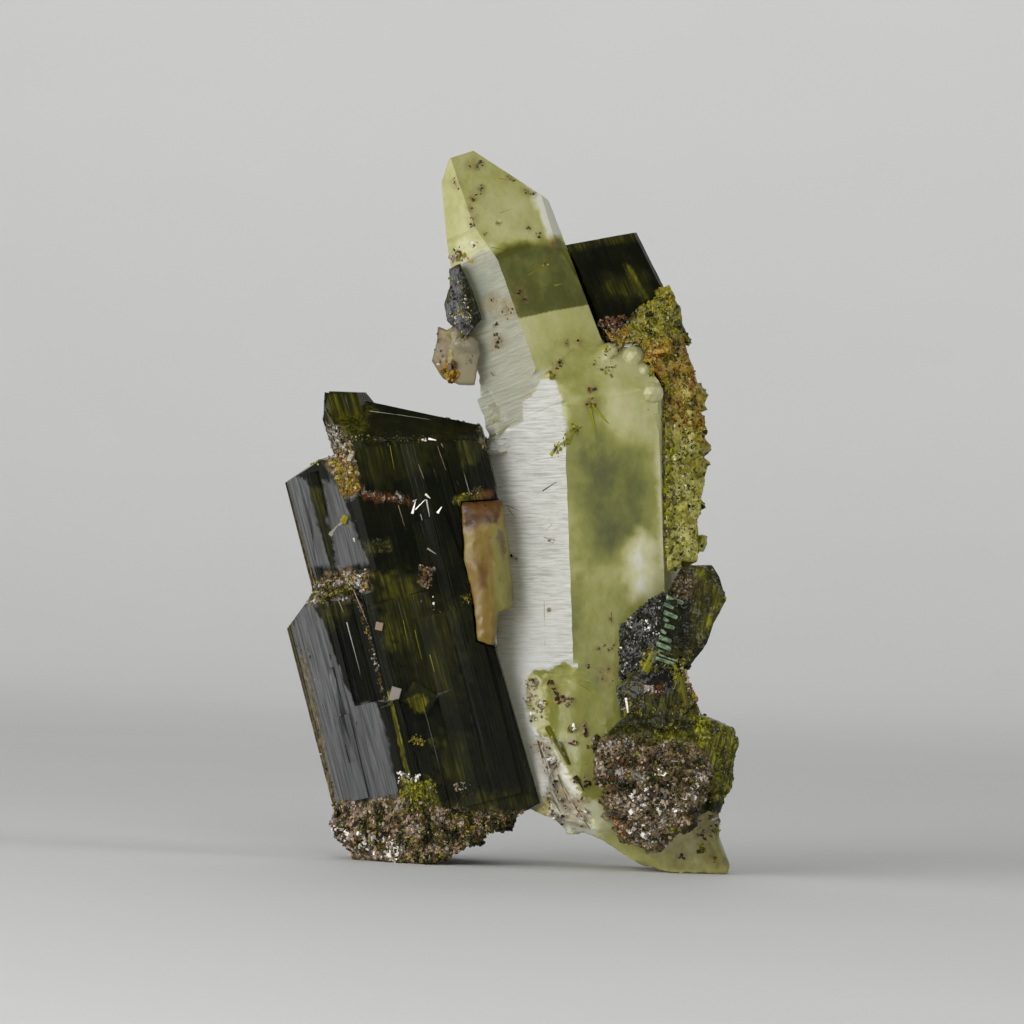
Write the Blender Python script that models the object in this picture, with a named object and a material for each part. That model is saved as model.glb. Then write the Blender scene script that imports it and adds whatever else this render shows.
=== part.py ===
"""Epidote crystal cluster: dark striated epidote grown together with pale quartz.

The scene is in metres and the corners below are in millimetres, as (x, y, z).
The cluster stands as in life on its broken feet, with +Z up, the front facing
-Y and the origin at the middle of the underside of its box. Each crystal is
made the way it grew: a straight prism along its own axis, closed by flat facets.
"""

import math
import random

import bmesh
import bpy
from mathutils import Euler, Matrix, Vector
from mathutils.bvhtree import BVHTree

# Driving dimensions
CLUSTER_HEIGHT = 55.0  # from the ground to the tip of the upper quartz, mm
DRAWN_HEIGHT = 55.0  # the height that the corners below are written for, mm
MM = 0.001 * CLUSTER_HEIGHT / DRAWN_HEIGHT
SEAM = 0.3  # open seam between neighbouring nodes, mm
GROUND = 0.0  # level at which the cluster is broken off flat, mm

# Tidying after the joins
WELD = 0.002  # corners closer than this are one, mm
PLACES = 4  # decimals of a millimetre that a corner is rounded to
FLAT_ANGLE = math.radians(1.0)  # faces within this angle are one facet

# Growth directions, each as two points on a long edge of the crystal
UPPER_QUARTZ_EDGE = ((1.5, -4.2, 37.1), (-1.9, -3.4, 45.8))
LOWER_QUARTZ_EDGE = ((4.9, -6, 15.3), (3.5, -6, 34.6))
LOWER_EPIDOTE_EDGE = ((-8.5, -3.4, 7.8), (-14.3, -3.4, 27.3))
UPPER_EPIDOTE_EDGE = ((-3.3, -3, 28.1), (-4.8, -3, 32.2))
REAR_EPIDOTE_EDGE = ((10.2, 0, 45.4), (8.6, 0, 48.3))

# Crusts of small crystals: low and high corner of a box that rays are aimed through, the ways
# of the rays, number of grains, their widths and the seed
FRONT, BACK, RIGHT, LEFT = (0, 1, 0), (0, -1, 0), (-1, 0, 0), (1, 0, 0)
LEFT_FOOT_CRUST = ((-16, -2, 0.4), (2, 5, 3.6), (FRONT, FRONT, LEFT, BACK), 36, (0.7, 1.4), 3)
FOOT_CRUST = ((6, -7, 2.0), (16, -5, 9.5), (FRONT, FRONT, FRONT, LEFT), 30, (0.7, 1.4), 5)
COLUMN_CRUST = ((9, -3, 22), (14, 4, 44), (FRONT, RIGHT, BACK), 48, (0.6, 1.3), 7)
GRAIN_SUNK = 0.12  # how deep the middle of a grain sits in its crystal, in grain widths

# Colour, roughness, metallic
FINISHES = {
    "quartz": ((0.52, 0.51, 0.34), 0.22, 0.0),
    "stained_quartz": ((0.36, 0.25, 0.09), 0.35, 0.0),
    "epidote": ((0.018, 0.022, 0.010), 0.25, 0.0),
    "granular_epidote": ((0.16, 0.13, 0.03), 0.6, 0.0),
}


def make_material(name):
    """A plain Principled material in one of the finishes."""
    colour, roughness, metallic = FINISHES[name]
    material = bpy.data.materials.new(name)
    material.use_nodes = True
    shader = material.node_tree.nodes["Principled BSDF"]
    shader.inputs["Base Color"].default_value = (*colour, 1.0)
    shader.inputs["Roughness"].default_value = roughness
    shader.inputs["Metallic"].default_value = metallic
    return material


def to_object(bm, name, collection):
    """Makes an object of a bmesh, which is used up."""
    bmesh.ops.recalc_face_normals(bm, faces=bm.faces)
    mesh = bpy.data.meshes.new(name)
    bm.to_mesh(mesh)
    bm.free()
    body = bpy.data.objects.new(name, mesh)
    collection.objects.link(body)
    return body


def extrude(corners, vector):
    """A solid drawn out from a flat polygon along a vector."""
    bm = bmesh.new()
    section = bm.faces.new([bm.verts.new(corner) for corner in corners])
    drawn = bmesh.ops.extrude_face_region(bm, geom=[section])
    top = [item for item in drawn["geom"] if isinstance(item, bmesh.types.BMVert)]
    bmesh.ops.translate(bm, verts=top, vec=vector)
    bmesh.ops.recalc_face_normals(bm, faces=bm.faces)
    return bm


def prism(section, edge, below, above):
    """A straight crystal: its section, drawn both ways along its growth direction."""
    axis = (Vector(edge[1]) - Vector(edge[0])).normalized()
    return extrude([Vector(corner) - axis * below for corner in section], axis * (below + above))


def slab(outline, front, back):
    """A flat crystal: an outline in front view, from one depth to another."""
    corners = [Vector((corner[0], front, corner[2])) for corner in outline]
    return extrude(corners, Vector((0.0, back - front, 0.0)))


def lath(bottom, top, width, depth):
    """A thin straight crystal between two points on the middle of its front."""
    bottom, top = Vector(bottom), Vector(top)
    axis = (top - bottom).normalized()
    side = axis.cross(Vector((0.0, 1.0, 0.0))).normalized() * width * 0.5
    back = Vector((0.0, depth, 0.0))
    return extrude((bottom - side, bottom + side, bottom + side + back, bottom - side + back), top - bottom)


def hexagon(front, heading, sides):
    """The level section of a quartz prism, whose sides turn by 60 degrees.

    The sides given are front, right, back right and left, from the front
    corner on; the other two follow, because the hexagon has to close.
    """
    front_side, right_side, back_right, left_side = sides
    back_left = right_side + back_right - left_side
    back_side = front_side + right_side - back_left
    corners = [Vector(front)]
    for number, length in enumerate((front_side, right_side, back_right, back_side, back_left)):
        angle = math.radians(heading + 60.0 * number)
        corners.append(corners[-1] + Vector((math.cos(angle), math.sin(angle), 0.0)) * length)
    return corners


def slice_off(bm, point, normal):
    """Cuts away what lies beyond a plane and closes the cut with one flat face."""
    whole = bm.verts[:] + bm.edges[:] + bm.faces[:]
    cut = bmesh.ops.bisect_plane(bm, geom=whole, plane_co=point, plane_no=normal, clear_outer=True)
    rim = [item for item in cut["geom_cut"] if isinstance(item, bmesh.types.BMEdge)]
    bmesh.ops.holes_fill(bm, edges=rim)


def facet(bm, a, b, c):
    """Cuts a crystal flat through three points; the side with its middle stays."""
    a, b, c = Vector(a), Vector(b), Vector(c)
    normal = (b - a).cross(c - a).normalized()
    middle = sum((vert.co for vert in bm.verts), Vector()) / len(bm.verts)
    if (middle - a).dot(normal) > 0.0:
        normal.negate()
    slice_off(bm, a, normal)


def rounded(vector):
    """A vector without the last digits, which can differ from run to run."""
    return Vector(round(part, PLACES) for part in vector)


def in_order(mesh):
    """The same mesh with its corners rounded and listed in one fixed order, and its faces too.

    A Boolean can list them in another order each time, and what follows would then differ.
    """
    corners = sorted((tuple(rounded(vert.co)), vert.index) for vert in mesh.vertices)
    rank = {index: number for number, (_corner, index) in enumerate(corners)}
    faces = []
    for polygon in mesh.polygons:
        ring = [rank[index] for index in polygon.vertices]
        first = ring.index(min(ring))
        faces.append(ring[first:] + ring[:first])
    ordered = bpy.data.meshes.new(mesh.name)
    ordered.from_pydata([corner for corner, _index in corners], [], sorted(faces))
    return ordered


def boolean(body, other, operation):
    """Joins the other object to the body or takes it away; the other one is used up."""
    modifier = body.modifiers.new("Boolean", "BOOLEAN")
    modifier.operation = operation
    modifier.solver = "EXACT"
    modifier.object = other
    depsgraph = bpy.context.evaluated_depsgraph_get()
    result = bpy.data.meshes.new_from_object(body.evaluated_get(depsgraph))
    body.modifiers.clear()
    body.data = in_order(result)
    bpy.data.objects.remove(other)


def grown(crystal):
    """A copy of a crystal that is larger by the seam all round, to part its neighbours from it."""
    copy = crystal.copy()
    copy.normal_update()
    pushes = [(vert, vert.normal * SEAM * vert.calc_shell_factor()) for vert in copy.verts]
    for vert, push in pushes:
        vert.co += push
    return copy


def span(bm):
    """The lowest and the highest corner of a crystal's box."""
    return (
        [min(vert.co[axis] for vert in bm.verts) for axis in range(3)],
        [max(vert.co[axis] for vert in bm.verts) for axis in range(3)],
    )


def near(one, other):
    """True where the boxes of two crystals come within the seam of each other."""
    (low_a, high_a), (low_b, high_b) = span(one), span(other)
    return all(low_a[i] < high_b[i] + SEAM and low_b[i] < high_a[i] + SEAM for i in range(3))


def drop_chips(bm):
    """Keeps the largest connected piece; the rest are slivers that the seams cut loose."""
    pieces = []
    waiting = set(bm.faces)
    while waiting:
        piece = [waiting.pop()]
        for face in piece:
            joined = {other for edge in face.edges for other in edge.link_faces} & waiting
            waiting -= joined
            piece.extend(joined)
        pieces.append(piece)
    pieces.sort(key=lambda piece: sum(face.calc_area() for face in piece))
    chips = [face for piece in pieces[:-1] for face in piece]
    bmesh.ops.delete(bm, geom=chips, context="FACES")


def triangulated(bm):
    """The solid in triangles.

    Two facets that share two corners could get the same diagonal, which would then lie
    between four triangles. The smaller of them is fanned out from its middle instead.
    """
    crowded = True
    while crowded:
        whole = bm.copy()
        bmesh.ops.triangulate(bm, faces=bm.faces)
        crowded = [[vert.index for vert in edge.verts] for edge in bm.edges if len(edge.link_faces) > 2]
        if crowded:
            bm.free()
            bm = whole
            bm.verts.ensure_lookup_table()
            for first, second in crowded:
                shared = set(bm.verts[first].link_faces) & set(bm.verts[second].link_faces)
                bmesh.ops.poke(bm, faces=[min(shared, key=lambda face: face.calc_area())])
                bm.verts.ensure_lookup_table()
    return bm


def finish(body):
    """Breaks a joined node off flat at the ground and makes each facet whole."""
    bm = bmesh.new()
    bm.from_mesh(body.data)
    slice_off(bm, (0.0, 0.0, GROUND), (0.0, 0.0, -1.0))
    bmesh.ops.remove_doubles(bm, verts=bm.verts, dist=WELD)
    bmesh.ops.dissolve_limit(bm, angle_limit=FLAT_ANGLE, verts=bm.verts, edges=bm.edges)
    bm = triangulated(bm)
    drop_chips(bm)
    bm.to_mesh(body.data)
    bm.free()


def stud(body, low, high, directions, count, sizes, seed):
    """Fuses small blocky crystals to a body, where rays through a box meet it from given sides."""
    draw = random.Random(seed)
    bm = bmesh.new()
    bm.from_mesh(body.data)
    surface = BVHTree.FromBMesh(bm)
    bm.free()
    for number in range(count):
        direction = Vector(directions[number % len(directions)])
        aim = Vector(draw.uniform(*ends) for ends in zip(low, high))
        width = draw.uniform(*sizes)
        turn = Euler([draw.uniform(-math.pi, math.pi) for _axis in range(3)]).to_matrix().to_4x4()
        spot, normal, _face, _distance = surface.ray_cast(aim - direction * CLUSTER_HEIGHT, direction)
        if spot is None:
            continue
        shape = Matrix.Diagonal((width, width * 0.75, width * 1.35, 1.0))
        place = Matrix.Translation(rounded(spot - normal * width * GRAIN_SUNK))
        grain = bmesh.new()
        bmesh.ops.create_cube(grain, size=1.0, matrix=place @ turn @ shape)
        boolean(body, to_object(grain, "grain", body.users_collection[0]), "UNION")


def upper_quartz():
    """The leaning prism whose tip is the top of the cluster."""
    section = hexagon((-0.1, -3.8, 41.5), 20.0, (6.3, 3.5, 4.5, 5.9))
    bm = prism(section, UPPER_QUARTZ_EDGE, 12.0, 16.0)
    facet(bm, (-6.2, 0.2, 50.5), (-3.7, 0.4, 36), (-4.4, 3.4, 43.6))
    facet(bm, (-1.9, -3.3, 46.1), (3.2, -1.6, 47.2), (-3.6, 0.2, 53.1))
    facet(bm, (-4.7, -1.6, 46.9), (-5, -0.9, 51.1), (-6.4, 0.5, 51.4))
    facet(bm, (1.9, -2.3, 47.7), (0.7, -1.3, 50.6), (1.9, 0.6, 50.6))
    facet(bm, (1.8, 0.6, 50.9), (3.1, 0.2, 47.8), (2.8, 4, 48.8))
    facet(bm, (-5.8, 0.4, 53.7), (-4, 0.4, 54.4), (-4.2, 3.5, 54.2))
    facet(bm, (-3.7, 0.5, 54.2), (1.8, 0.9, 50.8), (-0.8, 3.5, 52.2))
    facet(bm, (-5, 1.4, 54.2), (1.2, 1.6, 51.5), (1.4, 5, 45.9))
    facet(bm, (-6.5, 0.4, 51.5), (-5.8, 0.4, 53.7), (-5.7, 3, 52.8))
    return bm


def lower_quartz():
    """The stout prism in front, with a bright striated face to the left."""
    section = hexagon((3.9, -6, 30.2), 14.0, (7.35, 6.0, 7.0, 8.3))
    bm = prism(section, LOWER_QUARTZ_EDGE, 27.2, 9.6)
    facet(bm, (3.3, -6, 35.8), (10.6, -4.2, 36.7), (6.4, -2.3, 39.6))
    facet(bm, (1.7, -4.6, 37), (-1.2, -0.9, 32.5), (3.2, 2, 37))
    facet(bm, (8.4, -1.4, 39.9), (10.5, -3.4, 37.4), (10.4, 4, 36.9))
    facet(bm, (3.1, -4, 4), (6.7, -4, 2.6), (5.2, 4, 3.3))
    return bm


def quartz_tail():
    """The root that the quartz runs out into, low on the right."""
    outline = (
        (3.8, 0, 12.8), (3.2, 0, 4.3), (5, 0, 2.6), (6.9, 0, 2.6), (10.6, 0, 0.5), (13.3, 0, -0.2), (17.3, 0, -0.3),
        (17.6, 0, 0.5), (16.7, 0, 2.6), (16.5, 0, 5.6), (14.7, 0, 12.1), (13.1, 0, 15.5), (10.7, 0, 17.6),
    )
    bm = slab(outline, -5.4, 4.5)
    facet(bm, (5.2, -5.2, 2.2), (6.9, -4, 17.5), (16.6, -2.8, 2.6))
    facet(bm, (4.3, -4.8, 5.2), (6.9, -3.4, 2.6), (10.6, -3.2, 0.6))
    facet(bm, (4.1, 4.2, 12.8), (14.6, 2.4, 13.9), (16.6, 3.2, 1.1))
    return bm


def quartz_scoop():
    """The ball that the shell-shaped break low on the front edge follows."""
    bm = bmesh.new()
    bmesh.ops.create_uvsphere(
        bm, u_segments=36, v_segments=24, radius=9.0, matrix=Matrix.Translation((6.4, -14.3, 11.7))
    )
    return bm


def quartz_beads():
    """The small rounded crystals on the shoulder of the lower quartz."""
    beads = []
    places = (((10.1, -3.7, 36.2), 1.0), ((8.7, -2.2, 38.9), 1.0), ((6.8, -2.6, 39.3), 0.7), ((9.6, -3, 37.9), 0.6))
    for centre, radius in places:
        bead = bmesh.new()
        bmesh.ops.create_icosphere(bead, subdivisions=2, radius=radius, matrix=Matrix.Translation(centre))
        beads.append(bead)
    return beads


def left_epidote_lower():
    """The tall lower block of the left epidote, with its broken foot."""
    section = (
        (-15.4, 2, 12.1), (-14.3, -1, 12.1), (-11.8, -3.2, 12.2), (-8, -3.9, 12.4), (4.8, -3.2, 12.8),
        (4.8, 5.5, 12.8), (-2.7, 7.5, 12.6), (-13.3, 7.5, 12.2), (-15.2, 5, 12.1),
    )
    bm = prism(section, LOWER_EPIDOTE_EDGE, 14.0, 10.2)
    facet(bm, (-1.2, -3, 17.2), (2.9, -3, 4.8), (3.1, 3, 4.8))
    facet(bm, (-12.8, 0, 1.9), (-10.2, 0, 0.1), (-11.4, 4, 1))
    facet(bm, (-5.2, 0, -0.2), (0.8, 0, 3.7), (-2.4, 4, 1.7))
    facet(bm, (-15.2, 0, 19.9), (-16.9, 0, 17.4), (-15.9, 4, 19))
    facet(bm, (-15.5, -1, 20.4), (-11, -3.2, 22), (-13.7, 4, 22.8))
    return bm


def left_epidote_middle():
    """The middle block, set back a little on the left."""
    section = (
        (-16.8, 2.2, 26.1), (-16, -0.6, 26.1), (-13.5, -2.6, 26.2), (-11.4, -3.4, 26.3), (2, -2.9, 26.8),
        (2, 5, 26.8), (-3.3, 6.6, 26.6), (-15.4, 6.6, 26.1), (-16.7, 4.6, 26.1),
    )
    bm = prism(section, LOWER_EPIDOTE_EDGE, 9.0, 6.0)
    facet(bm, (-2.9, -3, 34.2), (-1.3, -3, 28.5), (-1, 3, 28.5))
    facet(bm, (-1.4, -3, 28.5), (-1.1, -3, 17.2), (-0.8, 3, 17.2))
    facet(bm, (-17.4, -1, 29.5), (-14.5, -2, 30.4), (-15.9, 4, 30.1))
    facet(bm, (-14.5, -2.4, 30.5), (-12.5, -3.2, 31.9), (-12.9, 4, 31.9))
    facet(bm, (-12.5, -3, 31.8), (-1.2, -3, 32.3), (-7.3, -0.6, 34.1))
    return bm


def left_epidote_top():
    """The upper block, bevelled towards the front."""
    section = (
        (-14.2, 1.6, 31.9), (-13.3, -1.6, 31.9), (-11.6, -2.8, 31.9), (1.1, -3, 32.4),
        (1.1, 4.4, 32.4), (-3.5, 6, 32.2), (-12.9, 6, 31.9), (-14.1, 4.2, 31.9),
    )
    bm = prism(section, UPPER_EPIDOTE_EDGE, 9.0, 8.0)
    facet(bm, (-3.2, -3, 34.4), (-1.4, -3, 28.5), (-1.2, 3, 28.5))
    facet(bm, (-11.6, -3.1, 31.9), (-1.2, -3.1, 32.6), (-7.3, -1, 33.9))
    facet(bm, (-11.1, 0, 34.9), (-3.3, 0, 33.5), (-8.8, 4, 34.5))
    facet(bm, (-14.7, 0, 31.8), (-14.7, 0, 34.5), (-14.7, 4, 33.7))
    return bm


def left_epidote_peak():
    """The small peak on the upper left of the left epidote."""
    section = ((-14.5, 1.2, 32.6), (-13.5, -0.8, 32.6), (-11.2, -0.6, 32.7), (-10.1, 2, 32.8), (-12.6, 4.8, 32.7))
    bm = prism(section, UPPER_EPIDOTE_EDGE, 3.0, 6.0)
    facet(bm, (-14.2, 0, 35.6), (-11.7, 0, 35.6), (-13.1, 4, 35.7))
    facet(bm, (-11.7, 0, 35.7), (-11, 0, 34.9), (-11.3, 4, 35.4))
    facet(bm, (-14.7, 0, 34), (-14.3, 0, 35.6), (-14.4, 4, 34.9))
    return bm


def left_epidote_ledges():
    """Laths that stand proud of the front of the left epidote."""
    return (
        lath((-6.2, -4.2, 4.4), (-8.7, -4.2, 12.3), 1.1, 1.5),
        lath((-0.7, -3.9, 5.1), (-4.8, -3.9, 19.2), 4.4, 1.5),
        lath((-10.8, -3.1, 4.7), (-12.5, -3.1, 11), 1.3, 1.5),
        lath((-5.6, -4.3, 12), (-7.5, -4.3, 13.1), 1.8, 1.2),
        lath((-4.2, -3.5, 20.1), (-6.7, -3.5, 26.1), 3.2, 1.5),
    )


def left_epidote_grooves():
    """Straight gaps in the front of the left epidote, along its striations."""
    return (
        lath((-10.2, -4.6, 12.1), (-12.6, -4.6, 20.4), 2.6, 1.9),
        lath((-13.4, -3.6, 22.3), (-15.3, -3.6, 29.4), 0.9, 1.9),
        lath((-11.5, -4.2, 7.5), (-13.4, -4.2, 14.6), 0.5, 1.9),
    )


def rear_epidote():
    """The dark crystal behind the upper quartz."""
    section = (
        (3, 1.4, 43.1), (5.9, -1.6, 43.2), (11.2, -0.6, 43.4), (12.5, 2, 43.4), (11.8, 6.4, 43.4), (4.1, 6.8, 43.1),
    )
    bm = prism(section, REAR_EPIDOTE_EDGE, 3.6, 9.0)
    facet(bm, (3.3, 0, 47.3), (8.5, 0, 48.5), (6.3, 7, 47.8))
    facet(bm, (8.7, 1, 48.4), (10.5, 1, 45.1), (9.8, 7, 46.2))
    facet(bm, (2.8, 5.2, 47.6), (9.6, 5, 48.5), (8.3, 7.6, 43.3))
    return bm


def granular_column():
    """The grainy epidote that coats the right side of the quartz."""
    outline = (
        (6.1, 0, 41.8), (9.6, 0, 43.1), (11.1, 0, 44.2), (12.1, 0, 43), (12.5, 0, 40.4), (13.7, 0, 37.1),
        (14.3, 0, 33.2), (14.4, 0, 29.9), (14, 0, 26.8), (14.1, 0, 23.6), (11.1, 0, 22.5), (9.3, 0, 35.7),
    )
    bm = slab(outline, -4.4, 5.0)
    facet(bm, (10.2, -4.5, 32), (11.6, -4.5, 23.7), (14.3, -1.4, 32.1))
    facet(bm, (6.8, -1.2, 41.9), (10.9, -1.6, 43.4), (10, -4.2, 36.9))
    facet(bm, (12.1, 3.2, 43.4), (14.4, 3.2, 32.1), (11.7, 5.2, 32))
    facet(bm, (6, -0.6, 43.2), (13.6, -0.6, 43.5), (10, 5, 37.9))
    return bm


def fan_wing():
    """The sheaf of epidote that stands out on the right."""
    outline = (
        (13.1, 0, 23.3), (15.2, 0, 23.4), (15.8, 0, 22.5), (16.4, 0, 20.8), (15.5, 0, 19.1), (15, 0, 17.5),
        (13.6, 0, 15.5), (11.9, 0, 15.2), (11.4, 0, 20.6),
    )
    bm = slab(outline, -6.2, -1.0)
    facet(bm, (12.2, -5.6, 23.3), (12.5, -6, 14.6), (16.3, -3.4, 20.8))
    facet(bm, (13.1, -4.6, 23.3), (15.2, -3.6, 23.4), (14.3, -6, 22.3))
    return bm


def fan_face():
    """The dark stepped crystal on the left of the fan."""
    outline = (
        (8.4, 0, 14), (8.4, 0, 18.6), (9.9, 0, 20.1), (11.5, 0, 21.3), (12.6, 0, 20.7), (13, 0, 17.7), (12.5, 0, 14.3),
    )
    bm = slab(outline, -7.2, -2.0)
    facet(bm, (11.2, -6.9, 20.6), (11.2, -7.1, 14.6), (8.4, -5.8, 17.5))
    facet(bm, (11.2, -6.9, 20.6), (11.2, -7.1, 14.6), (13, -6, 17.7))
    return bm


def fan_bars():
    """The parallel bars across the front of the fan."""
    bars = []
    for number in range(7):
        left, right = Vector((10.9, -6.9, 20.1)), Vector((12.9, -5.9, 19.6))
        step = Vector((11, -6.9, 19.5)) - Vector((10.9, -6.9, 20.1))
        bars.append(lath(left + step * number, right + step * number, 0.36, 1.4))
    return bars


def foot_epidote():
    """The broken epidote crystal in front, low on the right."""
    outline = (
        (9, 0, 11.8), (11.2, 0, 13.8), (13.9, 0, 13.8), (14.7, 0, 12.1), (17.1, 0, 11.2), (17.7, 0, 10), (17.3, 0, 8.6),
        (17.3, 0, 6.8), (16.5, 0, 5.6), (14.2, 0, 4.2), (12, 0, 1.7), (9.5, 0, 2.3), (8.3, 0, 4.5), (6.7, 0, 8),
        (6.7, 0, 9.5),
    )
    bm = slab(outline, -8.4, -1.2)
    facet(bm, (8, -8.2, 9.8), (14.8, -8.2, 9.4), (13.9, -5.6, 13.9))
    facet(bm, (14.8, -8.2, 9.8), (14.2, -8.2, 4.2), (17.3, -5.4, 8.7))
    facet(bm, (8.1, -8.5, 5.7), (14.2, -8.5, 5.6), (11.3, -6.4, 1.7))
    return bm


def foot_neck():
    """The darker crystals between the foot and the fan."""
    outline = ((8.3, 0, 14), (10, 0, 15.4), (13.3, 0, 15.4), (14.4, 0, 13.2), (11.7, 0, 10.4), (8.8, 0, 11.3))
    bm = slab(outline, -6.8, -2.0)
    facet(bm, (8.6, -6, 13.7), (10.8, -6.9, 15.2), (10.2, -6.9, 10.4))
    return bm


def stained_wedge():
    """The orange quartz wedged in between the left epidote and the lower quartz."""
    outline = (
        (-3.7, 0, 27.3), (-1, 0, 27.6), (-0.4, 0, 24.4), (0.1, 0, 19.9), (-1, 0, 19.3), (-1.2, 0, 16.9),
        (-2.2, 0, 17.2), (-2.7, 0, 20.9), (-3.4, 0, 23.2),
    )
    bm = slab(outline, -4.5, -1.4)
    facet(bm, (-2.1, -4.6, 27.7), (-1.5, -4.6, 17.2), (0.1, -3.6, 23.3))
    facet(bm, (-3.5, -4.6, 25.4), (-0.9, -4.6, 25.5), (-2.5, -3.6, 27.7))
    return bm


def shoulder_epidote():
    """The small striated epidote on the left side of the upper quartz."""
    outline = (
        (-5.5, 0, 45.2), (-4.7, 0, 45.6), (-3.7, 0, 43.6), (-2.9, 0, 41.5), (-4.1, 0, 40), (-5.5, 0, 41.3),
        (-5.8, 0, 42.5), (-5.4, 0, 43.9),
    )
    bm = slab(outline, -2.2, 1.6)
    facet(bm, (-4.8, -2.3, 45.4), (-4.3, -2.3, 39.9), (-5.8, -1.2, 42.8))
    return bm


def shoulder_quartz():
    """The tan quartz chip under the small epidote."""
    outline = (
        (-6.2, 0, 40.8), (-4, 0, 40), (-2.9, 0, 39.1), (-3.3, 0, 36.5), (-4.5, 0, 36.5), (-5.7, 0, 36.9),
        (-6.6, 0, 38.2), (-6.3, 0, 39.3),
    )
    bm = slab(outline, -1.9, 1.8)
    facet(bm, (-5.1, -2, 40.8), (-5, -2, 36.6), (-6.6, -0.4, 38.6))
    return bm


def make_node(name, crystals, pieces, grooves, crust, earlier, collection):
    """One node: its crystals joined, its fine shapes added, and seams cut to the earlier nodes."""
    body = to_object(crystals[0].copy(), name, collection)
    for crystal in crystals[1:]:
        boolean(body, to_object(crystal.copy(), "crystal", collection), "UNION")
    for piece in pieces:
        boolean(body, to_object(piece, "piece", collection), "UNION")
    for groove in grooves:
        boolean(body, to_object(groove, "groove", collection), "DIFFERENCE")
    if crust:
        stud(body, *crust)
    for other in earlier:
        if any(near(crystal, other) for crystal in crystals):
            boolean(body, to_object(grown(other), "seam", collection), "DIFFERENCE")
    finish(body)
    return body


def stand_on_origin(bodies):
    """Puts the middle of the underside of the whole box at the origin, and turns mm into metres."""
    corners = [vert.co for body in bodies for vert in body.data.vertices]
    middle = [(min(co[axis] for co in corners) + max(co[axis] for co in corners)) * 0.5 for axis in (0, 1)]
    for body in bodies:
        body.data.transform(Matrix.Scale(MM, 4) @ Matrix.Translation((-middle[0], -middle[1], 0.0)))


def main():
    for old in list(bpy.data.objects):
        bpy.data.objects.remove(old)
    parts = bpy.data.collections.new("Epidote_Crystal_Cluster")
    bpy.context.scene.collection.children.link(parts)
    materials = {name: make_material(name) for name in FINISHES}

    # Node, finish, crystals, pieces, grooves and crust; each is parted from the nodes before it
    nodes = (
        (
            "quartz_pair", "quartz",
            (upper_quartz(), lower_quartz(), quartz_tail(), *quartz_beads()), (), (quartz_scoop(),), None,
        ),
        ("quartz_wedge", "stained_quartz", (stained_wedge(),), (), (), None),
        (
            "epidote_left", "epidote",
            (left_epidote_lower(), left_epidote_middle(), left_epidote_top(), left_epidote_peak()),
            left_epidote_ledges(), left_epidote_grooves(), LEFT_FOOT_CRUST,
        ),
        ("epidote_foot", "epidote", (foot_epidote(), foot_neck()), (), (), FOOT_CRUST),
        ("epidote_fan", "epidote", (fan_wing(), fan_face()), fan_bars(), (), None),
        ("epidote_rear", "epidote", (rear_epidote(),), (), (), None),
        ("epidote_granular", "granular_epidote", (granular_column(),), (), (), COLUMN_CRUST),
        ("epidote_shoulder", "epidote", (shoulder_epidote(),), (), (), None),
        ("quartz_shoulder", "stained_quartz", (shoulder_quartz(),), (), (), None),
    )
    earlier = []
    bodies = []
    for name, finish_name, crystals, pieces, grooves, crust in nodes:
        body = make_node(name, crystals, pieces, grooves, crust, earlier, parts)
        body.data.materials.clear()
        body.data.materials.append(materials[finish_name])
        earlier.extend(crystals)
        bodies.append(body)
    stand_on_origin(bodies)


main()
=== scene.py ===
"""The looks of an epidote crystal cluster: black-green striated epidote on pale, see-through quartz.

Lengths are in millimetres, as (x, y, z) or (x, z), in the frame's own axes: +Z up, the front
facing -Y. A mesh is worked in millimetres and turned into metres when its piece is finished.
"""

import bisect
import math
import random

import bmesh
import bpy
from mathutils import Euler, Matrix, Vector, noise
from mathutils.bvhtree import BVHTree


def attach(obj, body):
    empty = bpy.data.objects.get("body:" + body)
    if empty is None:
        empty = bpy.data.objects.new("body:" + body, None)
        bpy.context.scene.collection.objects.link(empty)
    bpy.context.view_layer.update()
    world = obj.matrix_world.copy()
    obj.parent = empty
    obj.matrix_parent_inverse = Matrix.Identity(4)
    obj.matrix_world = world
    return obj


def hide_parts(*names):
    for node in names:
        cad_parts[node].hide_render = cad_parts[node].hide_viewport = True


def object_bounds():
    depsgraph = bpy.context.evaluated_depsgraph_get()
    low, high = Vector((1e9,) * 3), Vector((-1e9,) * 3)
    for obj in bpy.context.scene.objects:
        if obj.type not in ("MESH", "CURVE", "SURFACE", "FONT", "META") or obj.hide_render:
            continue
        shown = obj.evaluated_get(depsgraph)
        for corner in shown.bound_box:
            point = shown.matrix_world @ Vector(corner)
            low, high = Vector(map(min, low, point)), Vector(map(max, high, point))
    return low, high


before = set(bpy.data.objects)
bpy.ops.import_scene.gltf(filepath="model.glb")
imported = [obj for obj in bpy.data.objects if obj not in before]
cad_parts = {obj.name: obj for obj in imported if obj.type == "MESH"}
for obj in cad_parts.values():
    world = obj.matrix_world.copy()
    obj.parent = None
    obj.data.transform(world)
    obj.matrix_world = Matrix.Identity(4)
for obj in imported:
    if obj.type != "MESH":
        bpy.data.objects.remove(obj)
cad_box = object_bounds()

MM = 0.001
MERGE = 0.001  # corners closer than this are one
FLAT_ANGLE = math.radians(1.0)  # faces within this angle are one facet
BATCH = 200  # grains that are made in one go
FIRST_SEED = 100  # of the grains of a crust
FAR = 60.0  # a length that reaches right across the cluster
SUNK = 0.38  # how deep the middle of a grain sits, in grain widths

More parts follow.
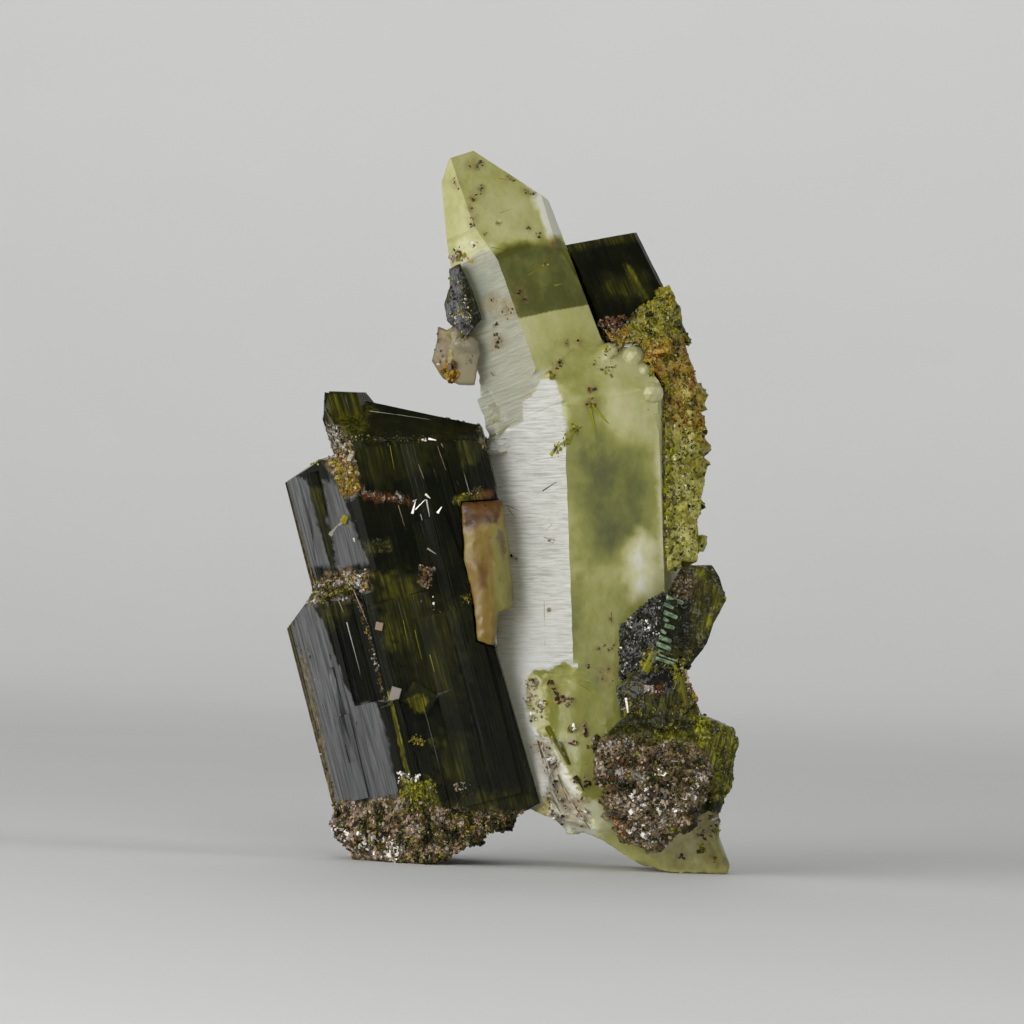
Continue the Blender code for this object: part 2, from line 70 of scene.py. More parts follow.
# Growth directions
LEFT_EPIDOTE = Vector((-5.8, 0.0, 19.5)).normalized()
UPPER_QUARTZ = Vector((-3.4, 0.8, 8.7)).normalized()
LOWER_QUARTZ = Vector((-1.4, 0.0, 19.3)).normalized()

# Directions: the way that a facet looks, or that a shot goes
TO_FRONT, TO_BACK, TO_RIGHT, TO_LEFT, TO_TOP = (0, -1, 0), (0, 1, 0), (1, 0, 0), (-1, 0, 0), (0, 0, 1)
EPIDOTE_LEFT_FRONT = (-0.66, -0.75, -0.2)
EPIDOTE_LEFT_SIDE = (-0.94, -0.34, -0.28)
UPPER_LEFT_FACET = Vector((-0.61, -0.77, -0.2))
LOWER_LEFT_FACET = Vector((-0.72, -0.69, 0))

# Faces and facets
LEAST_TURN = 0.3  # sine of the least angle between two facets that have a rim to slide along
SAME_WAY = 0.999  # cosine of the most that two facets differ when they look the same way
FLAT_EDGE = 0.002  # the angle at an edge, in radians, below which its faces are one plane
MOST_SPLITS = 9  # how often the faces in a zone are split at most
FRONT_DEPTH = 1.5  # faces in front of this are made fine
FRONT_LOOK = 0.1  # a normal whose y is below this shows from the front
LATH_GAP = 0.04  # how wide the step between two laths is
LATH_CHANGE = 0.4  # how often a lath changes at a row

# Noise: how it falls off, its step from octave to octave and its octaves
SKIN_NOISE = (0.7, 2.1, 4)
DENT_NOISE = (0.8, 2.1, 4)
EDGE_NOISE = (0.8, 2.0, 3)
SKIN_STEPS = (7.3, 3.1, 5.7)  # from one seed to the next, in noise
GRAIN_STEPS = (1.7, 2.3, 0.9)

# Grains: their sides, and their measures in grain widths
GRAIN_SIDES = (4, 5, 6)
GRAIN_DEPTHS = (0.4, 0.9)
GRAIN_LENGTHS = (0.9, 2.0)
GRAIN_TIPS = (0.3, 0.5)
CLUSTER_SIZE = 0.9  # how far grains of like tint reach
CLUSTERING = 0.9  # how strongly they lie together
STRAY = 0.3  # how far one grain's tint may be off its cluster's
TINT_SPREAD = 0.03  # how far grains of one tint differ

SPOT_REACH = 1.3  # where a spot ends, in its radii
PLATE_DEPTH = 0.4  # of a plate's width
PLATE_SHADE = 0.68
LEFT_START, LEFT_RISE = 0.35, 4.0  # where a facet starts to look left, and how fast that counts

BACK_OLIVE = 0.42  # how olive the epidote is behind
PATCH_GRAIN = 0.8  # the grain of a painted patch's edge


# Modelling


def facets_of(node):
    """A copy of a node's solid in millimetres, its loose triangles joined into whole facets."""
    bm = bmesh.new()
    bm.from_mesh(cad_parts[node].data)
    bmesh.ops.scale(bm, vec=(1 / MM, 1 / MM, 1 / MM), verts=bm.verts)
    bmesh.ops.remove_doubles(bm, verts=bm.verts, dist=MERGE)
    bmesh.ops.dissolve_limit(bm, angle_limit=FLAT_ANGLE, verts=bm.verts, edges=bm.edges)
    bm.normal_update()
    return bm


def facing(bm, direction, spread, zone):
    """The facets that look one way and have their middle in a zone."""
    direction = Vector(direction).normalized()
    faces = [face for face in bm.faces if face.normal.dot(direction) > spread]
    return [face for face in faces if zone is None or zone(face.calc_center_median())]


def slide(vert, raised, out, rise):
    """How a corner of a raised lath moves. One on the rim stays in the plane of the facet beyond."""
    others = [face.normal for face in vert.link_faces if face not in raised]
    if not others:
        return out * rise
    beyond = others[0]
    rim = out.cross(beyond)
    if rim.length < LEAST_TURN or any(other.dot(beyond) < SAME_WAY for other in others):
        return Vector()
    way = rim.cross(beyond).normalized()
    return way * (rise / way.dot(out))


def move_all(bm, moves):
    """Moves corners once all the moves are known. A move is a corner and how far it goes."""
    for vert, move in moves:
        vert.co += move
    bm.normal_update()


def cut_along(bm, faces, lines):
    """Cuts faces along planes. A line is the way that its plane looks and how far out it is."""
    pieces = list({item for face in faces for item in (face, *face.edges, *face.verts)})
    for normal, place in lines:
        cut = bmesh.ops.bisect_plane(
            bm, geom=pieces, dist=MERGE * 0.1, plane_co=normal * place, plane_no=normal,
        )
        pieces = cut["geom"]
    return pieces


def laths(bm, direction, growth, widths, heights, tilts, rows, seed, spread=0.93, zone=None):
    """Breaks the facets that look one way into narrow laths along the growth direction.

    A lath is raised or sunk, and tilted about its length. It may change at a few shared rows.
    """
    draw = random.Random(seed)
    out = Vector(direction).normalized()
    along = (growth - out * growth.dot(out)).normalized()
    across = along.cross(out)
    faces = facing(bm, direction, spread, zone)
    sides = [vert.co.dot(across) for face in faces for vert in face.verts]
    ends = [vert.co.dot(along) for face in faces for vert in face.verts]
    borders = [min(sides) - widths[1]]
    while borders[-1] < max(sides):
        borders.append(borders[-1] + widths[0] + (widths[1] - widths[0]) * draw.random() ** 2)
    inner = sorted(draw.uniform(min(ends), max(ends)) for _row in range(rows))
    levels = [min(ends) - FAR, *inner, max(ends) + FAR]
    lines = [(across, border + shift) for border in borders for shift in (-LATH_GAP * 0.5, LATH_GAP * 0.5)]
    lines += [(along, level + shift) for level in inner for shift in (-LATH_GAP, LATH_GAP)]
    pieces = cut_along(bm, faces, lines)
    shapes = []
    for _strip in borders:
        shape = draw.choice(heights), draw.choice(tilts)
        for _level in levels:
            if draw.random() < LATH_CHANGE:
                shape = draw.choice(heights), draw.choice(tilts)
            shapes.append(shape)
    raised = {item for item in pieces if isinstance(item, bmesh.types.BMFace)}
    moves = []
    for vert in {item for item in pieces if isinstance(item, bmesh.types.BMVert)}:
        side, end = vert.co.dot(across), vert.co.dot(along)
        strip = min(max(bisect.bisect(borders, side) - 1, 0), len(borders) - 2)
        row = bisect.bisect(levels, end) - 1
        height, tilt = shapes[strip * len(levels) + row]
        middle = (borders[strip] + borders[strip + 1]) * 0.5
        moves.append((vert, slide(vert, raised, out, height + tilt * (side - middle))))
    move_all(bm, moves)


def smooth_all(bm):
    """Shades all the faces as one smooth skin."""
    for face in bm.faces:
        face.smooth = True


def fine_faces(bm, edge_length, zone):
    """Splits the faces in a zone until their edges are short."""
    bmesh.ops.triangulate(bm, faces=bm.faces)
    for _round in range(MOST_SPLITS):
        middles = [(edge, (edge.verts[0].co + edge.verts[1].co) * 0.5) for edge in bm.edges]
        long = [edge for edge, middle in middles if edge.calc_length() > edge_length and zone(middle) > 0.0]
        if not long:
            break
        bmesh.ops.subdivide_edges(bm, edges=long, cuts=1)
        bmesh.ops.triangulate(bm, faces=[face for face in bm.faces if len(face.verts) > 3])
        bm.normal_update()
        flat = [edge for edge in bm.edges if edge.is_manifold and edge.calc_face_angle() < FLAT_EDGE]
        bmesh.ops.beautify_fill(bm, faces=bm.faces, edges=flat)
    bm.normal_update()


def everywhere(_point):
    """A zone that is the whole piece."""
    return 1.0


def front_side(point):
    """A zone that is the front of the cluster."""
    return 1.0 if point.y < FRONT_DEPTH else 0.0


def place_in_noise(seed, steps):
    """Where a piece's own noise starts, so that no two of them break alike."""
    return Vector(seed * step for step in steps)


def roughen(bm, zone, edge_length, height, grain, seed):
    """Breaks up the surface in a zone: short faces, moved in and out by noise of a grain size."""
    fine_faces(bm, edge_length, zone)
    shift = place_in_noise(seed, SKIN_STEPS)
    moves = []
    for vert in bm.verts:
        weight = zone(vert.co)
        if weight > 0.0:
            push = noise.fractal(vert.co / grain + shift, *SKIN_NOISE)
            moves.append((vert, vert.normal * push * height * weight))
    move_all(bm, moves)


def depth_inside(outline, side, up):
    """How far a point is inside an outline in front view; less than 0 when it is outside."""
    inside = False
    nearest = FAR
    for number, (x1, z1) in enumerate(outline):
        x0, z0 = outline[number - 1]
        dx, dz = x1 - x0, z1 - z0
        part = min(1.0, max(0.0, ((side - x0) * dx + (up - z0) * dz) / (dx * dx + dz * dz)))
        nearest = min(nearest, math.hypot(side - x0 - dx * part, up - z0 - dz * part))
        if (z0 > up) != (z1 > up) and side < x0 + dx * (up - z0) / dz:
            inside = not inside
    return nearest if inside else -nearest


class Region:
    """A part of the front: its outline, its value, and how soft and how ragged its edge is."""

    def __init__(self, outline, value, edge=0.15, ragged=0.25, grain=0.6):
        self.outline, self.value, self.edge, self.ragged, self.grain = outline, value, edge, ragged, grain
        reach = edge + ragged
        self.low = [min(spot[axis] for spot in outline) - reach for axis in (0, 1)]
        self.high = [max(spot[axis] for spot in outline) + reach for axis in (0, 1)]

    def mask(self, point):
        side, up = point.x, point.z
        if not (self.low[0] < side < self.high[0] and self.low[1] < up < self.high[1]):
            return 0.0
        rag = noise.fractal(point / self.grain, *EDGE_NOISE) * self.ragged
        return min(1.0, max(0.0, (depth_inside(self.outline, side, up) + rag) / self.edge + 0.5))


def shows_in_front(normal):
    """Whether a face with this normal shows from the front."""
    return normal.y < FRONT_LOOK


def leftward(face):
    """How much a facet looks to the left. The quartz there is frosted by fine striation and painted white,
    and the epidote has a painted sheen, both standing for the reflection of the light from the left.
    """
    return min(1.0, max(0.0, (-face.normal.x - LEFT_START) * LEFT_RISE))


def nothing(_face):
    """The base of a paint that is only in its regions."""
    return 0.0


def paint(bm, name, base, regions, looks=shows_in_front):
    """Writes a number for each corner of each face into an attribute that the materials read.

    The base gives a face's own number. The regions then change it on faces that look the right way.
    """
    layer = bm.loops.layers.float.get(name) or bm.loops.layers.float.new(name)
    masks = {vert: [(region.value, region.mask(vert.co)) for region in regions] for vert in bm.verts}
    for face in bm.faces:
        own = base(face)
        looked_at = looks(face.normal)
        for loop in face.loops:
            number = own
            if looked_at:
                for value, mask in masks[loop.vert]:
                    number += (value - number) * mask
            loop[layer] = number


class Spots:
    """Small round blots on the front, all of one value. A spot is a point in front view and a radius."""

    def __init__(self, spots, value):
        self.spots, self.value = spots, value

    def mask(self, point):
        masks = [SPOT_REACH - math.hypot(point.x - x, point.z - z) / radius for (x, z), radius in self.spots]
        return min(1.0, max(0.0, *masks))


def press(bm, region, depth, grain, seed, rounds=0):
    """Sinks the front inside a region, unevenly, and then smooths it some times over."""
    shift = place_in_noise(seed, SKIN_STEPS)
    moves = []
    for vert in bm.verts:
        mask = region.mask(vert.co) if shows_in_front(vert.normal) else 0.0
        if mask > 0.0:
            push = 1.0 + 0.5 * noise.fractal(vert.co / grain + shift, *DENT_NOISE)
            moves.append((vert, vert.normal * (-depth * mask * push)))
    move_all(bm, moves)
    sunk = [vert for vert, _move in moves]
    for _round in range(rounds):
        bmesh.ops.smooth_vert(bm, verts=sunk, factor=0.5, use_axis_x=True, use_axis_y=True, use_axis_z=True)
    if rounds:
        inside = set(sunk)
        for face in bm.faces:
            face.smooth = face.smooth or inside.issuperset(face.verts)
    bm.normal_update()


def new_crust():
    """An empty bmesh whose faces carry a mineral tint and a shade."""
    bm = bmesh.new()
    bm.faces.layers.float.new("tint")
    bm.faces.layers.float.new("shade")
    return bm


def tint_made(bm, made, tint, shade):
    """Gives the faces that an operator has made their tint and shade."""
    tints, shades = bm.faces.layers.float["tint"], bm.faces.layers.float["shade"]
    for face in {face for vert in made["verts"] for face in vert.link_faces}:
        face[tints], face[shades] = tint, shade


def as_mesh(bm, name):
    """Turns a bmesh into a mesh, and frees it."""
    mesh = bpy.data.meshes.new(name)
    bm.to_mesh(mesh)
    bm.free()
    return mesh


def add_object(name, data):
    """Adds an object to the scene."""
    made = bpy.data.objects.new(name, data)
    bpy.context.scene.collection.objects.link(made)
    return made


def on_front(surface, spot):
    """Where a point in front view lies on a surface, and the normal there: None where it misses."""
    hit, normal, _face, _distance = surface.ray_cast(Vector((spot[0], -FAR, spot[1])), Vector(TO_BACK))
    return hit, normal


def grain_matrix(spot, normal, width, draw):
    """Places one grain, blocky and turned at random, half sunk into the surface."""
    turn = Euler([draw.uniform(-math.pi, math.pi) for _axis in range(3)]).to_matrix().to_4x4()
    shape = Matrix.Diagonal(
        (width, width * draw.uniform(*GRAIN_DEPTHS), width * draw.uniform(*GRAIN_LENGTHS), 1.0)
    )
    return Matrix.Translation(spot - normal * width * SUNK) @ turn @ shape


def rod(bm, start, end, width, tint, sides, taper):
    """A thin straight crystal from one point to another."""
    start, end = Vector(start), Vector(end)
    turn = (end - start).to_track_quat("Z", "Y").to_matrix().to_4x4()
    made = bmesh.ops.create_cone(
        bm, cap_ends=True, segments=sides, radius1=width * 0.5, radius2=width * 0.5 * taper,
        depth=(end - start).length, matrix=Matrix.Translation((start + end) * 0.5) @ turn,
    )
    tint_made(bm, made, tint, 0.0)


def rods_on_front(bm, surface, lines, depth, sides, taper):
    """Thin crystals that lie on the front of a surface, sunk by a depth in rod widths. A line is its
    two ends in front view, its width and its tint; one whose ends miss the surface is left out.
    """
    for start, end, width, tint in lines:
        hits = [on_front(surface, spot) for spot in (start, end)]
        spots = [hit - normal * depth * width for hit, normal in hits if hit is not None]
        if len(spots) == 2:
            rod(bm, *spots, width, tint, sides, taper)


def grains(surface, shots, sizes, tints, seed):
    """Small crystals where shots meet the surface. A shot is a start and a direction.

    The tints are the choices for a grain, in an order: grains that are near each other get tints
    that are near each other in it, so that the minerals lie in clusters.
    """
    draw = random.Random(seed)
    shift = place_in_noise(seed, GRAIN_STEPS)
    meshes = []
    for first in range(0, len(shots), BATCH):
        bm = new_crust()
        for start, direction in shots[first : first + BATCH]:
            spot, normal, _face, _distance = surface.ray_cast(Vector(start), Vector(direction))
            if spot is None:
                continue
            width = sizes[0] + (sizes[1] - sizes[0]) * draw.random() ** 2
            place = grain_matrix(spot, normal, width, draw)
            made = bmesh.ops.create_cone(
                bm, cap_ends=True, segments=draw.choice(GRAIN_SIDES), radius1=0.5,
                radius2=draw.uniform(*GRAIN_TIPS), depth=1.0, matrix=place,
            )
            level = 0.5 + noise.fractal(spot / CLUSTER_SIZE + shift, *EDGE_NOISE) * CLUSTERING
            level += draw.uniform(-STRAY, STRAY)
            tint = tints[int(min(max(level, 0.0), 0.999) * len(tints))]
            tint_made(bm, made, tint + draw.uniform(-TINT_SPREAD, TINT_SPREAD), draw.random())
        meshes.append(as_mesh(bm, "grains"))
    return meshes


def plates_on_front(bm, surface, plates):
    """Thin square crystals on the front. A plate is its middle, width, length, turn and tint."""
    for middle, width, length, turn, tint in plates:
        hit, normal = on_front(surface, middle)
        if hit is None:
            continue
        lie = (-normal).to_track_quat("Y", "Z").to_matrix().to_4x4()
        size = Matrix.Diagonal((width, width * PLATE_DEPTH, length, 1.0))
        place = Matrix.Translation(hit) @ lie @ Matrix.Rotation(math.radians(turn), 4, "Y") @ size
        tint_made(bm, bmesh.ops.create_cube(bm, size=1.0, matrix=place), tint, PLATE_SHADE)


def shots_through(low, high, directions, count, seed):
    """Shots from outside the cluster through random points of a box."""
    draw = random.Random(seed)
    shots = []
    for number in range(count):
        direction = Vector(directions[number % len(directions)])
        aim = Vector(draw.uniform(*ends) for ends in zip(low, high))
        shots.append((aim - direction * FAR, direction))
    return shots


def shots_at(outline, count, seed):
    """Shots from the front at random points inside an outline."""
    draw = random.Random(seed)
    sides, ups = zip(*outline)
    shots = []
    while len(shots) < count:
        side, up = draw.uniform(min(sides), max(sides)), draw.uniform(min(ups), max(ups))
        if depth_inside(outline, side, up) > 0.0:
            shots.append(((side, -FAR, up), TO_BACK))
    return shots


def shots_about(places, count, seed):
    """Shots from the front at small clusters. A place is a point in front view and a radius."""
    draw = random.Random(seed)
    shots = []
    for (side, up), radius in places:
        for _shot in range(count):
            spot = side + draw.gauss(0, radius * 0.5), -FAR, up + draw.gauss(0, radius * 0.5)
            shots.append((spot, TO_BACK))
    return shots


def shots_along(path, spread, count, seed):
    """Shots from the front at a line in front view, scattered about it."""
    draw = random.Random(seed)
    shots = []
    for _shot in range(count):
        part = draw.uniform(0, len(path) - 1)
        number = min(int(part), len(path) - 2)
        start, end = Vector(path[number]), Vector(path[number + 1])
        spot = start.lerp(end, part - number) + Vector((draw.gauss(0, spread), draw.gauss(0, spread)))
        shots.append(((spot.x, -FAR, spot.y), TO_BACK))
    return shots


def join_meshes(meshes):
    """One bmesh of many meshes, which are used up."""
    bm = new_crust()
    for mesh in meshes:
        bm.from_mesh(mesh)
        bpy.data.meshes.remove(mesh)
    return bm


def finish_piece(bm, name, material, slot, *nodes):
    """Makes a piece of a bmesh in millimetres, kept within the solid's box; it stands for the nodes
    that are named.
    """
    bmesh.ops.triangulate(bm, faces=[face for face in bm.faces if len(face.verts) > 4])
    bmesh.ops.scale(bm, vec=(MM, MM, MM), verts=bm.verts)
    for vert in bm.verts:
        vert.co = [min(max(part, low), high) for part, low, high in zip(vert.co, *cad_box)]
    piece = add_object(name, as_mesh(bm, name))
    piece.data.materials.append(material)
    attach(piece, "root")
    if nodes:
        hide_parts(*nodes)
    return piece


# Materials


class Value:
    """A shader socket that takes part in Python sums; each sum adds a Math node."""

    def __init__(self, finish, socket):
        self.finish = finish
        self.socket = socket

    def math(self, operation, first, second):
        return self.finish.node("ShaderNodeMath", {"operation": operation}, {0: first, 1: second})

    def __add__(self, other):
        return self.math("ADD", self, other)

    def __sub__(self, other):
        return self.math("SUBTRACT", self, other)

    def __rsub__(self, other):
        return self.math("SUBTRACT", other, self)

    def __mul__(self, other):
        return self.math("MULTIPLY", self, other)

    __radd__ = __add__
    __rmul__ = __mul__

    def clamp(self):
        return self.finish.node("ShaderNodeClamp", {}, {"Value": self})

    def above(self, threshold, width):
        """A soft step: 0 below the threshold, 1 from a width above it."""
        return ((self - threshold) * (1.0 / width)).clamp()


class Finish:
    """A material that is being made, on Object coordinates."""

    def __init__(self, name, plain):
        self.material = bpy.data.materials.new(name)
        self.material.use_nodes = True
        self.tree = self.material.node_tree
        self.shader = self.tree.nodes["Principled BSDF"]
        for socket, value in plain.items():
            self.feed(self.shader.inputs[socket], value)
        self.place = self.node("ShaderNodeTexCoord", {}, {}, "Object")

    def feed(self, socket, value):
        if isinstance(value, Value):
            self.tree.links.new(value.socket, socket)
        elif socket.type == "RGBA":
            socket.default_value = (*value, 1.0)
        else:
            socket.default_value = value

    def node(self, kind, settings, values, output=0):
        """Adds a node, gives it its settings and then its sockets' values or links."""
        node = self.tree.nodes.new(kind)
        for name, setting in settings.items():
            if name == "stops":
                self.set_stops(node.color_ramp, setting)
            else:
                setattr(node, name, setting)
        for socket, value in values.items():
            self.feed(node.inputs[socket], value)
        return Value(self, node.outputs[output])

    @staticmethod
    def set_stops(ramp, stops):
        while len(ramp.elements) < len(stops):
            ramp.elements.new(1.0)
        for element, (position, colour) in zip(ramp.elements, stops):
            element.position = position
            element.color = (*colour, 1.0)

    def space(self, size, turn=(0, 0, 0), centre=(0, 0, 0)):
        """Object coordinates about a centre, turned and measured in steps of a size, in millimetres."""
        values = {
            "Vector": self.place, "Location": [part * MM for part in centre],
            "Rotation": [math.radians(angle) for angle in turn], "Scale": [part * MM for part in size],
        }
        return self.node("ShaderNodeMapping", {"vector_type": "TEXTURE"}, values)

    def noise(self, space, detail, roughness=0.55, distortion=0.0):
        values = {
            "Vector": space, "Scale": 1.0, "Detail": detail, "Roughness": roughness, "Distortion": distortion,
        }
        return self.node("ShaderNodeTexNoise", {}, values)

    def cells(self, space, output="Distance"):
        return self.node("ShaderNodeTexVoronoi", {"feature": "F1"}, {"Vector": space, "Scale": 1.0}, output)

    def patch(self, centre, size, turn, ragged, edge):
        """A mask that is 1 in an ellipse in front view, with a ragged edge. It reaches through the piece."""
        space = self.space((size[0], FAR, size[1]), (0, turn, 0), (centre[0], 0, centre[1]))
        reach = self.node("ShaderNodeVectorMath", {"operation": "LENGTH"}, {0: space}, "Value")
        rag = self.noise(self.space((PATCH_GRAIN,) * 3), 4.0) - 0.5
        return (1.0 - reach + rag * (2.0 * ragged)).above(0.0, edge)

    def attribute(self, name):
        return self.node("ShaderNodeAttribute", {"attribute_name": name}, {}, "Fac")

    def mix(self, mask, low, high):
        """A colour between two. The sockets of the mix node are numbered, as their names repeat."""
        return self.node("ShaderNodeMix", {"data_type": "RGBA"}, {0: mask, 6: low, 7: high}, 2)

    def ramp(self, value, stops):
        return self.node("ShaderNodeValToRGB", {"stops": stops}, {"Fac": value})

    def bump(self, height, distance):
        values = {"Height": height, "Distance": distance * MM, "Strength": 1.0}
        self.feed(self.shader.inputs["Normal"], self.node("ShaderNodeBump", {}, values))

    def absorb(self, colour, density):
        """A plain tint that deepens with the way that light goes through."""
        inside = self.node("ShaderNodeVolumeAbsorption", {}, {"Color": colour, "Density": density})
        self.tree.links.new(inside.socket, self.tree.nodes["Material Output"].inputs["Volume"])

    def done(self, colour, roughness):
        self.feed(self.shader.inputs["Base Color"], colour)
        self.feed(self.shader.inputs["Roughness"], roughness)
        return self.material


# How the quartz looks, from deep olive to milky white
CLOUDS = (
    (0.0, (0.07, 0.075, 0.004)), (0.15, (0.17, 0.18, 0.018)), (0.33, (0.31, 0.31, 0.055)),
    (0.5, (0.5, 0.49, 0.17)), (0.68, (0.66, 0.64, 0.34)), (0.85, (0.8, 0.79, 0.48)),
    (1.0, (0.93, 0.92, 0.82)),
)


def quartz_finish():
    """Pale olive quartz: see-through, cloudy inside, frosted where it looks left, and painted white
    there as a painted reflection of the light from the left.
    """
    quartz = Finish("quartz", {"IOR": 1.54, "Transmission Weight": 0.5, "Specular IOR Level": 0.35})
    cloud, frost, upper, stain = (quartz.attribute(name) for name in ("cloud", "frost", "upper", "stain"))
    broad = quartz.noise(quartz.space((2.2, 2.2, 3.2)), 4.0)
    fine = quartz.noise(quartz.space((0.5, 0.5, 0.7)), 4.0)
    milk = (cloud + (broad - 0.5) * 0.5 + (fine - 0.5) * 0.2).clamp()
    colour = quartz.ramp(milk, CLOUDS)
    lines = quartz.noise(quartz.space((2.4, 2.4, 0.13), (0, -3, 0)), 5.0, 0.7, 0.6)
    # Frosted faces: real frosting, painted near white as a painted reflection of the light from the left
    white = quartz.mix(lines.above(0.34, 0.24), (0.46, 0.46, 0.43), (0.84, 0.84, 0.80))
    # Painted light: the low part of the white face is painted whiter, where the left epidote and the wedge
    # cast a shadow
    foot = quartz.patch((1.4, 11.6), (3.4, 9.5), 0, 0.1, 0.6)
    white = quartz.mix(foot * 0.6, white, (0.98, 0.98, 0.97))
    slant = quartz.noise(quartz.space((2.6, 2.6, 0.16), (0, -24, 0)), 5.0, 0.7, 0.6)
    grey = quartz.mix(slant.above(0.36, 0.25), (0.34, 0.34, 0.29), (0.55, 0.55, 0.48))
    bluish = quartz.patch((-3.2, 43.5), (1.9, 3.0), -18, 0.5, 0.8)
    grey = quartz.mix(bluish * 0.8, grey, (0.26, 0.30, 0.28))
    colour = quartz.mix(frost, colour, quartz.mix(upper, white, grey))
    rust = quartz.ramp(fine, ((0.35, (0.14, 0.07, 0.01)), (0.6, (0.40, 0.29, 0.07))))
    colour = quartz.mix(stain, colour, rust)
    quartz.bump(quartz.mix(frost, fine, lines), 0.05)
    quartz.absorb((0.84, 0.84, 0.56), 60.0)
    return quartz.done(colour, frost * 0.15 + broad * 0.2 + 0.24)


# How the epidote looks, from black to bright yellow green
OLIVES = (
    (0.0, (0.0035, 0.0042, 0.002)), (0.3, (0.014, 0.0145, 0.0025)), (0.55, (0.05, 0.047, 0.003)),
    (0.75, (0.105, 0.1, 0.004)), (1.0, (0.26, 0.27, 0.01)),
)


def epidote_finish(name, turn):
    """Black green epidote, streaked along its growth direction. The attributes say where it is
    lighter, where it has a painted sheen that stands for the reflection of the light from the left,
    and where it is stained brown or crusted.
    """
    epidote = Finish(name, {"IOR": 1.74, "Specular IOR Level": 0.11})
    olive, silver, stain, crust = (epidote.attribute(name) for name in ("olive", "silver", "stain", "crust"))
    streaks = epidote.noise(epidote.space((0.18, 0.18, 4.0), (0, turn, 0)), 4.0, 0.6)
    broad = epidote.noise(epidote.space((1.0, 1.0, 2.5), (0, turn, 0)), 4.0)
    light = olive * (streaks.above(0.38, 0.3) * 0.6 + 0.4) * (broad * 1.2 + 0.4) + (broad - 0.5) * 0.3
    colour = epidote.ramp(light.clamp(), OLIVES)
    # Painted sheen: a lighter streaked grey that stands for the reflection of the light from the left
    sheen = epidote.mix(streaks.above(0.36, 0.25), (0.045, 0.047, 0.045), (0.108, 0.111, 0.110))
    colour = epidote.mix(silver, colour, sheen)
    dirt = epidote.noise(epidote.space((0.45, 0.45, 0.45)), 5.0, 0.7)
    colour = epidote.mix(stain * dirt.above(0.35, 0.2), colour, (0.085, 0.030, 0.008))
    grime = epidote.ramp(dirt, ((0.38, (0.020, 0.015, 0.006)), (0.5, (0.10, 0.075, 0.025)),
                                (0.66, (0.30, 0.22, 0.13))))
    colour = epidote.mix(crust, colour, grime)
    epidote.bump(streaks + dirt * crust * 3.0, 0.03)
    return epidote.done(colour, silver * 0.22 + crust * 0.3 + olive.clamp() * 0.15 + streaks * 0.12 + 0.07)


# What the grains of the crusts are: black, olive, yellow green, amber, orange, rust, brown, pink,
# silver and white
MINERALS = (
    (0.0, (0.007, 0.007, 0.003)), (0.12, (0.05, 0.046, 0.003)), (0.25, (0.22, 0.22, 0.008)),
    (0.38, (0.28, 0.2, 0.008)), (0.5, (0.3, 0.12, 0.006)), (0.6, (0.085, 0.028, 0.01)),
    (0.7, (0.13, 0.09, 0.035)), (0.82, (0.42, 0.29, 0.19)), (0.91, (0.26, 0.26, 0.23)),
    (1.0, (0.92, 0.88, 0.8)),
)


def grain_finish():
    """The small crystals of the crusts, each with its own mineral colour."""
    crust = Finish("crust grains", {"IOR": 1.6, "Specular IOR Level": 0.25})
    tint, shade = crust.attribute("tint"), crust.attribute("shade")
    colour = crust.ramp(tint, MINERALS)
    colour = crust.mix(shade.above(0.55, 0.3) * 0.85, colour, (0.012, 0.010, 0.004))
    return crust.done(colour, shade * 0.35 + 0.15)


def mint_finish():
    mint = Finish("mint epidote", {"IOR": 1.7, "Specular IOR Level": 0.4})
    tone = mint.noise(mint.space((0.3, 0.3, 0.3)), 3.0)
    return mint.done(mint.mix(tone.above(0.4, 0.2), (0.10, 0.16, 0.09), (0.30, 0.42, 0.25)), 0.25)


def granular_finish():
    """Sugary olive and amber epidote on the right of the quartz."""
    mass = Finish("granular epidote", {"IOR": 1.7, "Specular IOR Level": 0.2})
    pale, stain = mass.attribute("olive"), mass.attribute("stain")
    space = mass.space((0.3, 0.3, 0.3))
    tone = mass.node("ShaderNodeSeparateColor", {}, {"Color": mass.cells(space, "Color")}, "Red")
    broad = mass.noise(mass.space((0.8, 0.8, 1.4)), 5.0, 0.65)
    light = (pale + (tone - 0.5) * 0.3 + (broad - 0.5) * 0.7).clamp()
    stops = (
        (0.0, (0.018, 0.016, 0.001)), (0.25, (0.085, 0.075, 0.002)), (0.5, (0.18, 0.16, 0.004)),
        (0.75, (0.34, 0.32, 0.05)), (1.0, (0.56, 0.54, 0.2)),
    )
    colour = mass.ramp(light, stops)
    amber = mass.ramp(light, ((0.1, (0.09, 0.032, 0.003)), (0.5, (0.27, 0.14, 0.003)),
                              (0.9, (0.42, 0.29, 0.01))))
    colour = mass.mix(stain, colour, amber)
    mass.bump(mass.cells(space) + broad, 0.06)
    return mass.done(colour, tone * 0.25 + 0.2)


def stained_finish():
    """Amber quartz between the left epidote and the lower quartz."""
    stained = Finish("stained quartz", {"IOR": 1.54, "Transmission Weight": 0.5, "Specular IOR Level": 0.35})
    cloud, stain = stained.attribute("cloud"), stained.attribute("stain")
    broad = stained.noise(stained.space((1.3, 1.3, 2.2)), 4.0)
    light = (cloud + (broad - 0.5) * 0.5).clamp()
    stops = (
        (0.0, (0.11, 0.048, 0.01)), (0.3, (0.25, 0.135, 0.012)), (0.6, (0.38, 0.29, 0.045)),
        (0.78, (0.36, 0.34, 0.08)), (0.88, (0.19, 0.13, 0.055)), (1.0, (0.34, 0.3, 0.19)),
    )
    colour = stained.mix(stain * broad.above(0.35, 0.2), stained.ramp(light, stops), (0.27, 0.115, 0.004))
    stained.bump(broad, 0.08)
    stained.absorb((0.86, 0.72, 0.34), 90.0)
    return stained.done(colour, broad * 0.2 + 0.25)


# Pieces


